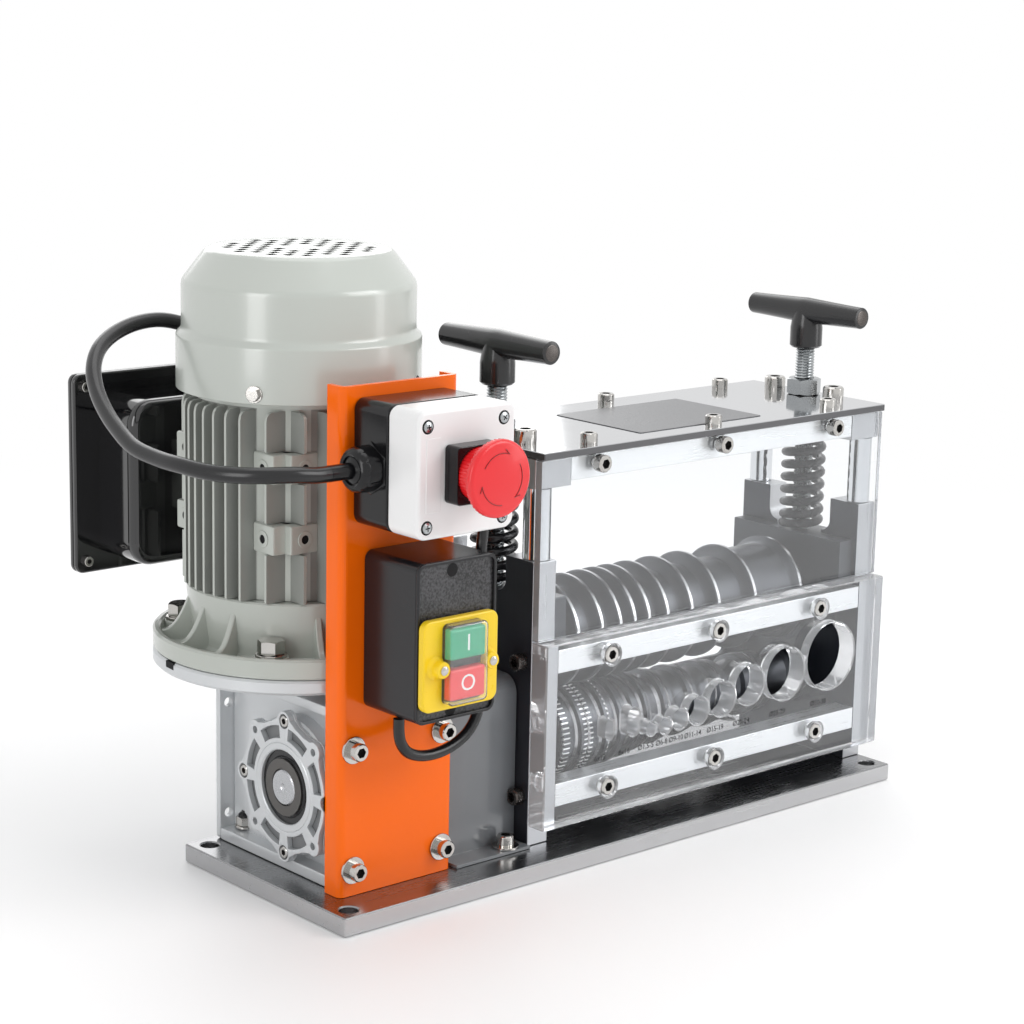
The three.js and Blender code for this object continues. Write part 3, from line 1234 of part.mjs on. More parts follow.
piece('cooling_fan', 'blackPlastic', coolingFan());
piece('fan_cover', 'motorGrey', fanCoverBody());
piece('capacitor_box', 'blackGloss', capacitorTray());
piece('capacitor_box_lid', 'blackGloss', capacitorLid());
piece('capacitor', 'blackPlastic', capacitorBody());
piece('control_bracket', 'orange', controlBracket());
piece('estop_base', 'blackPlastic', estopBase());
piece('estop_cover', 'whitePlastic', estopCover());
piece('estop_collar', 'whitePlastic', estopCollar());
piece('estop_stem', 'redPlastic', estopStem());
piece('estop_head', 'redPlastic', estopHead());
piece('cable_gland', 'blackPlastic', cableGland());
piece('switch_box', 'charcoalPlastic', switchBoxBody());
piece('switch_frame', 'yellowPlastic', switchFrameBody());
piece('switch_lens', 'clear', switchLens());
const startBottom = buttonZ + buttons.startRise;
const stopTop = buttonZ - buttons.stopDrop;
piece('start_button', 'greenPlastic', pushButton([startBottom, startBottom + buttons.startHeight]));
piece('stop_button', 'redPlastic', pushButton([stopTop - buttons.stopHeight, stopTop]));
piece('motor_cable', 'blackPlastic', cable(motorCableRoute, motorCable));
piece('switch_cable', 'blackPlastic', cable(switchCableRoute, switchCable));
piece('tunnel_cover', 'coverGrey', tunnelCover());

console.log(`Least gap between the turns of a pressure spring: ${springLeastGap().toFixed(2)} mm`);

export default machine;
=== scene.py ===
"""Bench wire stripping machine: the looks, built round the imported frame. Lengths are in mm up to make()."""

import math

import bmesh
import bpy
from mathutils import Matrix, Vector
from mathutils.geometry import tessellate_polygon


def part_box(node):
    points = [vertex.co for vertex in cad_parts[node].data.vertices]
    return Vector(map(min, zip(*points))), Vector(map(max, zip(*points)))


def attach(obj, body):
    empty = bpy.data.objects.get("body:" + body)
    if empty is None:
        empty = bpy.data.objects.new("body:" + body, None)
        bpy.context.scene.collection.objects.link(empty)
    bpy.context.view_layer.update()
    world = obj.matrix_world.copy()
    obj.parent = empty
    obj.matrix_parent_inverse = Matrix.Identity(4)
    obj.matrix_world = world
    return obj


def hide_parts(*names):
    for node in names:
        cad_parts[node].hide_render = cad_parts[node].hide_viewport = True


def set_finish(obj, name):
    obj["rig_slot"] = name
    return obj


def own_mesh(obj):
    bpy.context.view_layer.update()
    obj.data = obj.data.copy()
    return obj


bl_info = {
    "name": "Wire Stripping Machine",
    "version": (1, 0, 0),
    "blender": (4, 5, 0),
    "location": "View3D > Sidebar > Stripper",
    "description": "Builds a bench wire stripping machine round its packed frame",
    "category": "Object",
}

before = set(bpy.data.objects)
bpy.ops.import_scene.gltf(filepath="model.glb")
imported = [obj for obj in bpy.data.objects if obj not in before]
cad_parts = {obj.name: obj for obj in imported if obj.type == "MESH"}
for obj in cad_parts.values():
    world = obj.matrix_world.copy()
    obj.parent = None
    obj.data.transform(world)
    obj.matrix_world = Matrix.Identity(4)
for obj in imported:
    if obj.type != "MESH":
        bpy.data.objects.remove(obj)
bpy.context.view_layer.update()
MM = 0.001


def corners(node):
    """The low and the high corner of a frame node's box, in millimetres."""
    return [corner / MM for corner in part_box(node)]


def ends(node):
    """Where a frame node begins and ends along X, in millimetres."""
    return [corner.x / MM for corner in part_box(node)]


# Directions, and faces and axes of the frame that several pieces share
FRONT, UP = (0, -1, 0), (0, 0, 1)
BASE_TOP = 10.5
HEAD_LEFT, HEAD_RIGHT = ends("feed_guard")
FEED_AXIS, BLADE_AXIS = 60.0, 118.0
END_BLOCK_BOTTOM, PLATE_TOP = 216.0, 237.0
STUD_X = (-53.65, 201.35)
SCREW_LEVELS = (39, 117)
MOTOR_X, MOTOR_Y = -161.5, 40.0
MOTOR = (MOTOR_X, MOTOR_Y, 0)
HOUSING_LEFT, HOUSING_RIGHT = -195.5, -127.5
COVER_BOLTS, COVER_FLOOR = 37, 1.9
FIN_TOP = 265.5
GUARD_FACE, UPPER_FACE, GUARD_BACK, BRACKET_FACE = -61.6, -53.8, -48.6, -49.0
ESTOP = (-161.0, 246.0)
SWITCH_X = -160.0
# The small screws' shank, and the washer under a large one
SHANK_RADIUS, WASHER = 2.9, 1.4

# Stations of the head: x, z of the feed hole, its radius, half its straight part, then the
# feed roller's groove and rim radii and half its width, and the words under the hole
STATIONS = (
    (-17.3, 73.2, 3.0, 3.0, 24.6, 28.7, 3.6, "6x12", -24.6),
    (1.5, 74.3, 4.4, 4.0, 24.6, 28.7, 4.2, "8x16", -5.8),
    (16.0, 67.5, 4.15, 0.0, 23.0, 27.2, 3.0, "Ø1.5-5", 11.6),
    (27.6, 67.0, 4.9, 0.0, 21.6, 26.0, 3.4, "Ø6-8", 24.3),
    (39.2, 69.0, 6.2, 0.0, 20.0, 24.4, 3.8, "Ø9-10", 36.0),
    (54.4, 71.3, 8.5, 0.0, 18.6, 23.0, 5.0, "Ø11-14", 49.8),
    (74.6, 74.8, 10.6, 0.0, 17.4, 21.8, 6.6, "Ø15-19", 68.5),
    (97.5, 79.4, 12.2, 0.0, 16.2, 20.6, 7.6, "Ø20-24", 90.6),
    (128.8, 81.0, 16.3, 0.0, 15.0, 19.4, 10.0, "Ø25-29", 122.0),
    (169.2, 85.4, 21.0, 0.0, 14.0, 18.4, 12.5, "Ø30-38", 158.7),
)


# ---------------------------------------------------------------- mesh parts
# A part is (points in mm, faces), and closed, so that its normals can be set outwards


def joined(*parts):
    points, faces = [], []
    for some_points, some_faces in parts:
        start = len(points)
        points += some_points
        faces += [tuple(i + start for i in face) for face in some_faces]
    return points, faces


def skinned(rings, loop=False, capped=True):
    """A part from rings of equally many points: a tube with flat ends, or closed in a loop."""
    count = len(rings[0])
    starts = [i * count for i in range(len(rings))]
    faces = []
    for a, b in zip(starts, starts[1:] + (starts[:1] if loop else [])):
        faces += [(a + k, a + (k + 1) % count, b + (k + 1) % count, b + k) for k in range(count)]
    if capped and not loop:
        faces += [tuple(range(count)), tuple(range(starts[-1], starts[-1] + count))]
    return [point for ring in rings for point in ring], faces


def polar(radius, angle):
    return radius * math.cos(angle), radius * math.sin(angle)


def around(middle, half):
    return middle - half, middle + half


def arc(u, v, radius, start, sweep, steps):
    """Points on an arc round (u, v), both ends with it. Angles are in radians."""
    turns = (polar(radius, start + sweep * k / steps) for k in range(steps + 1))
    return [(u + a, v + b) for a, b in turns]


def circle(u, v, radius, steps=48):
    return arc(u, v, radius, 0, 2 * math.pi, steps)[:-1]


def rounded(u_span, v_span, radius, steps=8):
    (u0, u1), (v0, v1) = u_span, v_span
    left, right, low, high = u0 + radius, u1 - radius, v0 + radius, v1 - radius
    quarter = math.pi / 2
    points = []
    for k, (u, v) in enumerate(((right, low), (right, high), (left, high), (left, low))):
        points += arc(u, v, radius, quarter * (k - 1), quarter, steps)
    return points


def laid(point, axis, at=(0, 0, 0)):
    """A point made along +Z, laid along the axis and put in place."""
    u, v, h = point
    x, y, z = {"x": (h, u, v), "y": (u, h, v), "z": (u, v, h)}[axis]
    return (x + at[0], y + at[1], z + at[2])


def turned(profile, axis="z", at=(0, 0, 0), steps=64, loop=False, wave=None):
    """A revolved part. wave(ring, step) gives a share that scales a point's radius."""
    points, faces, rings = [], [], []
    for number, (radius, height) in enumerate(profile):
        count = 1 if radius < 1e-6 else steps
        rings.append((len(points), count))
        for k in range(count):
            r = radius * (wave(number, k) if wave else 1)
            points.append(laid((*polar(r, 2 * math.pi * k / steps), height), axis, at))
    follow = rings[1:] + (rings[:1] if loop else [])
    for (a, count_a), (b, count_b) in zip(rings, follow):
        for k in range(steps):
            n = (k + 1) % steps
            if count_a == 1 and count_b > 1:
                faces.append((a, b + k, b + n))
            elif count_b == 1 and count_a > 1:
                faces.append((a + k, b, a + n))
            elif count_a > 1:
                faces.append((a + k, b + k, b + n, a + n))
    return points, faces


def stub(radius, height, steps=24, low=0.0):
    return turned([(0, low), (radius, low), (radius, height), (0, height)], steps=steps)


def disc(inner, outer, span, edge=0.2):
    """A washer with softened rims."""
    low, high = span
    profile = [
        (inner, low), (outer - edge, low), (outer, low + edge),
        (outer, high - edge), (outer - edge, high), (inner, high),
    ]
    return turned(profile, steps=48, loop=True)


def wound(loop, left=True):
    """The loop as it runs with its inside on its left, or else on its right."""
    area = sum(loop[i - 1][0] * p[1] - p[0] * loop[i - 1][1] for i, p in enumerate(loop))
    return loop if (area > 0) == left else loop[::-1]


def inset(loop, distance):
    """The loop moved by the distance to its left, with mitred corners."""
    if not distance:
        return loop
    shifted = []
    count = len(loop)
    for i in range(count):
        a, p, b = Vector(loop[i - 1]), Vector(loop[i]), Vector(loop[(i + 1) % count])
        before, after = (p - a).normalized(), (b - p).normalized()
        m, n = Vector((-before.y, before.x)), Vector((-after.y, after.x))
        middle = m + n
        length = middle.length_squared
        middle = middle * (2 / length) if length > 0.2 else n
        shifted.append(tuple(p + middle * distance))
    return shifted


def plate(axis, outline, holes, span, bevel=0.0, rounds=1, stepped=()):
    """An extruded outline with holes, whose edges at both faces are bevelled.

    A stepped hole is (wide loop, narrow loop, depth of the wide part from the low face).
    """
    low, high = span
    turns = [math.pi / 2 * k / rounds for k in range(rounds + 1)] if bevel else [math.pi / 2]
    rise = [(bevel * (1 - math.sin(turn)), bevel * (1 - math.cos(turn))) for turn in turns]
    fall = [(distance, high - height) for distance, height in rise[::-1]]
    rise = [(distance, low + height) for distance, height in rise]
    loops = [wound(outline)] + [wound(hole, False) for hole in holes]
    walls = [[(loop, d, h) for d, h in rise + fall] for loop in loops]
    for wide, narrow, depth in stepped:
        wide, narrow = wound(wide, False), wound(narrow, False)
        step = [(wide, 0, low + depth), (narrow, 0, low + depth)]
        walls.append([(wide, d, h) for d, h in rise] + step + [(narrow, d, h) for d, h in fall])
    skins, sides, start = [], ([], []), 0
    for wall in walls:
        rings = [[(u, v, height) for u, v in inset(loop, distance)] for loop, distance, height in wall]
        skins.append(skinned([[laid(point, axis) for point in ring] for ring in rings], capped=False))
        last = start + (len(rings) - 1) * len(rings[0])
        sides[0].append((start, rings[0]))
        sides[1].append((last, rings[-1]))
        start = last + len(rings[0])
    points, faces = joined(*skins)
    for side in sides:
        index = [i for first, ring in side for i in range(first, first + len(ring))]
        flat = [[Vector((u, v, 0)) for u, v, _ in ring] for _, ring in side]
        faces += [tuple(index[i] for i in face) for face in tessellate_polygon(flat)]
    return points, faces


def cup(axis, outline, wall, span, bevel):
    """A thin cap, open at its high end: the outline's skin, drawn in at the closed low end."""
    low, high = span
    soft = max(bevel - wall, 0.2)
    turns = [(1 - math.cos(a), 1 - math.sin(a)) for a in (math.pi / 8 * k for k in range(5))]
    inside = [(wall + soft * a, low + wall + soft * b) for a, b in turns[::-1]] + [(wall, high)]
    outside = [(0, high)] + [(bevel * a, low + bevel * b) for a, b in turns]
    return skinned([
        [laid((u, v, height), axis) for u, v in inset(wound(outline), distance)]
        for distance, height in inside + outside
    ])


def box(x, y, z, bevel, rounds=2):
    body = bmesh.new()
    bmesh.ops.create_cube(body, size=1)
    for vertex in body.verts:
        spans = zip((x, y, z), vertex.co)
        vertex.co = Vector((low + (high - low) * (co + 0.5) for (low, high), co in spans))
    bmesh.ops.bevel(body, geom=body.edges[:], offset=bevel, segments=rounds, profile=0.5, affect="EDGES")
    body.verts.index_update()
    part = ([tuple(v.co) for v in body.verts], [tuple(v.index for v in f.verts) for f in body.faces])
    body.free()
    return part


def moved(part, matrix):
    points, faces = part
    return [tuple(matrix @ Vector(p)) for p in points], faces


def spun(at, degrees):
    """The move to a place, and a turn about Z before it."""
    return Matrix.Translation(at) @ Matrix.Rotation(math.radians(degrees), 4, "Z")


def put(part, at, direction=UP, spin=0):
    """A part made along +Z from the origin, turned to the direction and put in place."""
    turn = Vector(direction).to_track_quat("Z", "Y").to_matrix().to_4x4()
    return moved(part, Matrix.Translation(at) @ turn @ Matrix.Rotation(math.radians(spin), 4, "Z"))


def fronted(profile, place, steps=32):
    """A solid round part on a face that looks to the front. The profile starts off the axis."""
    return put(turned([(0, 0), *profile, (0, profile[-1][1])], steps=steps), place, FRONT)


def tube(path, radius, sides=12):
    """A round wire along the path, with closed ends."""
    path = [Vector(p) for p in path]
    side = (path[1] - path[0]).normalized().orthogonal().normalized()
    rings = []
    for i, p in enumerate(path):
        along = (path[min(i + 1, len(path) - 1)] - path[max(i - 1, 0)]).normalized()
        side = (side - along * side.dot(along)).normalized()
        up = along.cross(side)
        turns = (polar(1, 2 * math.pi * k / sides) for k in range(sides))
        rings.append([tuple(p + (side * a + up * b) * radius) for a, b in turns])
    return skinned(rings)


HEX_STEPS = 48


def to_corner(k):
    """How much further out a hexagon's outline lies than its flats, at one of its steps."""
    return 1 / math.cos(math.radians((360 * k / HEX_STEPS + 30) % 60 - 30))


def hexagonal(flats, span, bore=0.0):
    """A nut or a bolt's head: six flats with turned corners at both ends."""
    low, high = span
    face = flats / 2 * 0.97
    rings = []
    for height, tilt in ((low, 0), (low, 0.5), (high, -0.5), (high, 0)):
        radii = [flats / 2 * to_corner(k) if tilt else face for k in range(HEX_STEPS)]
        turns = [polar(r, 2 * math.pi * k / HEX_STEPS) for k, r in enumerate(radii)]
        rings.append([(u, v, height + tilt * (r - face)) for (u, v), r in zip(turns, radii)])
    if bore:
        rings += [[(u, v, height) for u, v in circle(0, 0, bore, HEX_STEPS)] for height in (high, low)]
    return skinned(rings, bool(bore))


def cap_screw(head, height, key, washer=0.0):
    """A knurled socket head, with a washer under it where the washer's radius is given."""
    radius, hexagon = head / 2, key / 2
    base = WASHER if washer else 0.0

    def shape(ring, k):
        if ring in (1, 2):
            return 1.0 if k % 2 else 0.975
        return to_corner(k) if ring in (5, 6) else 1.0

    profile = [
        (0, base), (radius, base + 0.02), (radius, base + height * 0.82),
        (radius * 0.97, base + height * 0.9), (radius * 0.86, base + height), (hexagon, base + height),
        (hexagon, base + height * 0.45), (0, base + height * 0.38),
    ]
    parts = [turned(profile, steps=HEX_STEPS, wave=shape)]
    if washer:
        parts.append(disc(radius * 0.55, washer, (0, base)))
    return joined(*parts)


def screw_set(screws_name, socket_shade_name, places, look="nickel"):
    """Makes cap screws as one piece, and painted shade in their sockets, as dark plugs, as another.

    A place is the screw's size (head, height, key and any washer), its point, direction and turn, and
    the length of its shank if that shows.
    """
    screws, shades = [], []
    for size, point, direction, spin, *shank in places:
        screws.append(put(cap_screw(*size), point, direction, spin))
        screws += [put(stub(SHANK_RADIUS, length), point, [-c for c in direction]) for length in shank]
        # A dark plug on each socket's floor is painted shade
        floor = size[1] * 0.5 + (WASHER if len(size) > 3 else 0.0)
        radius = size[2] / 2 * 0.97
        profile = [(0, floor), (radius, floor), (radius, floor + 0.1), (0, floor + 0.1)]
        plug = turned(profile, steps=HEX_STEPS, wave=lambda ring, k: to_corner(k) if ring in (1, 2) else 1.0)
        shades.append(put(plug, point, direction, spin))
    make(screws_name, look, screws, smooth=28)
    make(socket_shade_name, "hollow", shades)


def threaded(radius, span, pitch, steps=24):
    """A stud with a real helical thread."""
    low, high = span
    rows = int((high - low) / pitch * 5)
    rings = []
    for i in range(rows + 1):
        h = low + (high - low) * i / rows
        end = min(1, (high - h) / pitch, (h - low) / pitch + 0.3)
        ring = []
        for k in range(steps):
            share = (h / pitch - k / steps) % 1
            depth = 0.55 * pitch * (1 - abs(2 * share - 1))
            ring.append((*polar(radius - depth * 0.9 - (1 - end) * 0.6, 2 * math.pi * k / steps), h))
        rings.append(ring)
    return skinned(rings)


def smooth_route(points, steps=12):
    """The centripetal curve through the route's points, as the frame's cables follow it."""
    places = [Vector(p) for p in points]
    places = [2 * places[0] - places[1]] + places + [2 * places[-1] - places[-2]]
    line = []
    for i in range(1, len(places) - 2):
        p = places[i - 1 : i + 3]
        t = [0.0]
        for a, b in zip(p, p[1:]):
            t.append(t[-1] + math.sqrt((b - a).length))
        for k in range(steps):
            x = t[1] + (t[2] - t[1]) * k / steps
            a = [(p[j] * (t[j + 1] - x) + p[j + 1] * (x - t[j])) / (t[j + 1] - t[j]) for j in range(3)]
            b = [(a[j] * (t[j + 2] - x) + a[j + 1] * (x - t[j])) / (t[j + 2] - t[j]) for j in range(2)]
            line.append((b[0] * (t[2] - x) + b[1] * (x - t[1])) / (t[2] - t[1]))
    line.append(places[-2])
    return line


def words(text, size, at, depth=0.08, weight=0.0):
    """Raised lettering as a part, upright on a face that looks to the front."""
    curve = bpy.data.curves.new("words", "FONT")
    curve.body = text
    curve.size = size
    curve.align_x = curve.align_y = "CENTER"
    curve.extrude = depth / 2
    curve.offset = weight
    curve.resolution_u = 3
    holder = bpy.data.objects.new("words", curve)
    bpy.context.scene.collection.objects.link(holder)
    bpy.context.view_layer.update()
    mesh = holder.evaluated_get(bpy.context.evaluated_depsgraph_get()).to_mesh()
    matrix = Matrix.Translation(at) @ Matrix.Rotation(math.pi / 2, 4, "X")
    part = ([tuple(matrix @ v.co) for v in mesh.vertices], [tuple(f.vertices) for f in mesh.polygons])
    bpy.data.objects.remove(holder)
    bpy.data.curves.remove(curve)
    return part


def paint(mesh, looks, choose):
    """Gives a mesh its finishes. choose(normal, centre) tells which faces take the second one."""
    mesh.materials.clear()
    for look in looks.split():
        mesh.materials.append(finish(look))
    if choose:
        for polygon in mesh.polygons:
            polygon.material_index = int(choose(polygon.normal, polygon.center / MM))


def make(name, looks, parts, replaces=None, body="frame", smooth=30, choose=None, merge=True):
    """A piece from its parts: closed, with outward normals, in metres, riding on its body."""
    points, faces = joined(*parts)
    mesh = bpy.data.meshes.new(name)
    grid = bmesh.new()
    made = [grid.verts.new(Vector(p) * MM) for p in points]
    for face in faces:
        if len(set(face)) > 2:
            try:
                grid.faces.new([made[i] for i in face])
            except ValueError:
                # The face is there already
                continue
    if merge:
        bmesh.ops.remove_doubles(grid, verts=grid.verts, dist=1e-7)
    bmesh.ops.dissolve_degenerate(grid, edges=grid.edges, dist=1e-7)
    bmesh.ops.recalc_face_normals(grid, faces=grid.faces)
    grid.to_mesh(mesh)
    grid.free()
    for polygon in mesh.polygons:
        polygon.use_smooth = True
    paint(mesh, looks, choose)
    mesh.set_sharp_from_angle(angle=math.radians(smooth))
    piece = bpy.data.objects.new(name, mesh)
    # Flat faces keep their own normals, and the bevels round them take up the turn
    shading = piece.modifiers.new("shading", "WEIGHTED_NORMAL")
    shading.keep_sharp = True
    shading.weight = 80
    bpy.context.scene.collection.objects.link(piece)
    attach(piece, body)
    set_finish(piece, FINISHES[looks.split()[0]][0])
    if replaces:
        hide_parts(replaces)
    return piece


def carried(node, looks, bevel=0.4, choose=None):
    """A frame node that shows as it is: its finish, and a small bevel on its edges."""
    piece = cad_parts[node]
    weld = piece.modifiers.new("weld", "WELD")
    weld.merge_threshold = 1e-5
    edge = piece.modifiers.new("bevel", "BEVEL")
    edge.width = bevel * MM
    edge.segments = 2
    edge.limit_method = "ANGLE"
    edge.angle_limit = math.radians(40)
    if "custom_normal" in piece.data.attributes:
        piece.data.attributes.remove(piece.data.attributes["custom_normal"])
    for polygon in piece.data.polygons:
        polygon.use_smooth = False
    paint(piece.data, looks, choose)


# ---------------------------------------------------------------- finishes


def wire(tree, node, inputs):
    """Sets a node's inputs: a socket is linked, and any other value is set on the input itself."""
    for name, value in inputs.items():
        if isinstance(value, bpy.types.NodeSocket):
            tree.links.new(value, node.inputs[name])
        else:
            node.inputs[name].default_value = value


def add_node(tree, kind, output, inputs=None, **settings):
    """A new shader node. Gives the output of that name, to be linked on."""
    node = tree.nodes.new(f"ShaderNode{kind}")
    for name, value in settings.items():
        setattr(node, name, value)
    wire(tree, node, inputs or {})
    return node.outputs[output]


def finish_of(
    name, colour, rough, metal=0.0, grain=(1, 1, 1), scale=90, spread=0.04, rough_spread=0.04,
    bump=0.0, depth=0.05, speckle=0.0, coat=0.0, specular=0.5, clear=0.0, cloud=0.0,
):
    """A procedural finish: mottled colour and roughness, with a grain that may be drawn out."""
    material = bpy.data.materials.new(name)
    material.use_nodes = True
    tree = material.node_tree
    shader = tree.nodes["Principled BSDF"]
    place = add_node(tree, "TexCoord", "Object")
    drawn = add_node(tree, "Mapping", "Vector", {"Vector": place, "Scale": grain})
    fine = add_node(tree, "TexNoise", "Fac", {"Vector": drawn, "Scale": scale * 8, "Detail": 3})
    broad = add_node(tree, "TexNoise", "Fac", {"Vector": place, "Scale": scale / 3, "Detail": 4})
    both = add_node(
        tree, "Mix", "Result", {"Factor": 0.35 + cloud, "A": fine, "B": broad}, data_type="FLOAT",
    )
    share = both
    if speckle:
        # Steeper steps between the two tones, for a moulded grain
        span = {"From Min": 0.5 - speckle, "From Max": 0.5 + speckle}
        share = add_node(tree, "MapRange", "Result", {"Value": both, **span})
    dark, light = ([min(1, c * (1 + sign * spread)) for c in colour] + [1] for sign in (-1, 1))
    tone = add_node(tree, "Mix", "Result", {"Factor": share, "A": dark, "B": light}, data_type="RGBA")
    gloss = add_node(tree, "MapRange", "Result", {
        "Value": both, "From Min": 0.3, "From Max": 0.7,
        "To Min": max(0.0, rough - rough_spread), "To Max": rough + rough_spread,
    })
    wire(tree, shader, {
        "Base Color": tone, "Roughness": gloss, "Metallic": metal, "Coat Weight": coat,
        "Coat Roughness": 0.06, "Specular IOR Level": specular, "Transmission Weight": clear,
        "IOR": 1.49 if clear else 1.5,
    })
    if bump:
        relief = {"Strength": bump, "Distance": depth * MM, "Height": fine}
        wire(tree, shader, {"Normal": add_node(tree, "Bump", "Normal", relief)})
    if clear:
        # Light that falls through it is only tinted
        shadow = add_node(tree, "LightPath", "Is Shadow Ray")
        through = add_node(tree, "BsdfTransparent", "BSDF", {"Color": (*colour, 1)})
        mixed = add_node(tree, "MixShader", "Shader", {"Fac": shadow, 1: shader.outputs["BSDF"], 2: through})
        wire(tree, tree.nodes["Material Output"], {"Surface": mixed})
    return material


# How a grain is drawn out, and what finishes of one kind share
LENGTHWISE, CROSSWISE, UPRIGHT = (0.008, 1, 1), (1, 0.01, 1), (1, 1, 0.01)
RINGS_X, RINGS_Z = (1, 0.04, 0.04), (0.04, 0.04, 1)
CAST = dict(scale=60, bump=0.02, cloud=0.2)
ENAMEL = dict(coat=0.3, scale=70, cloud=0.2, spread=0.01)
TURNED = dict(grain=RINGS_X, scale=120)

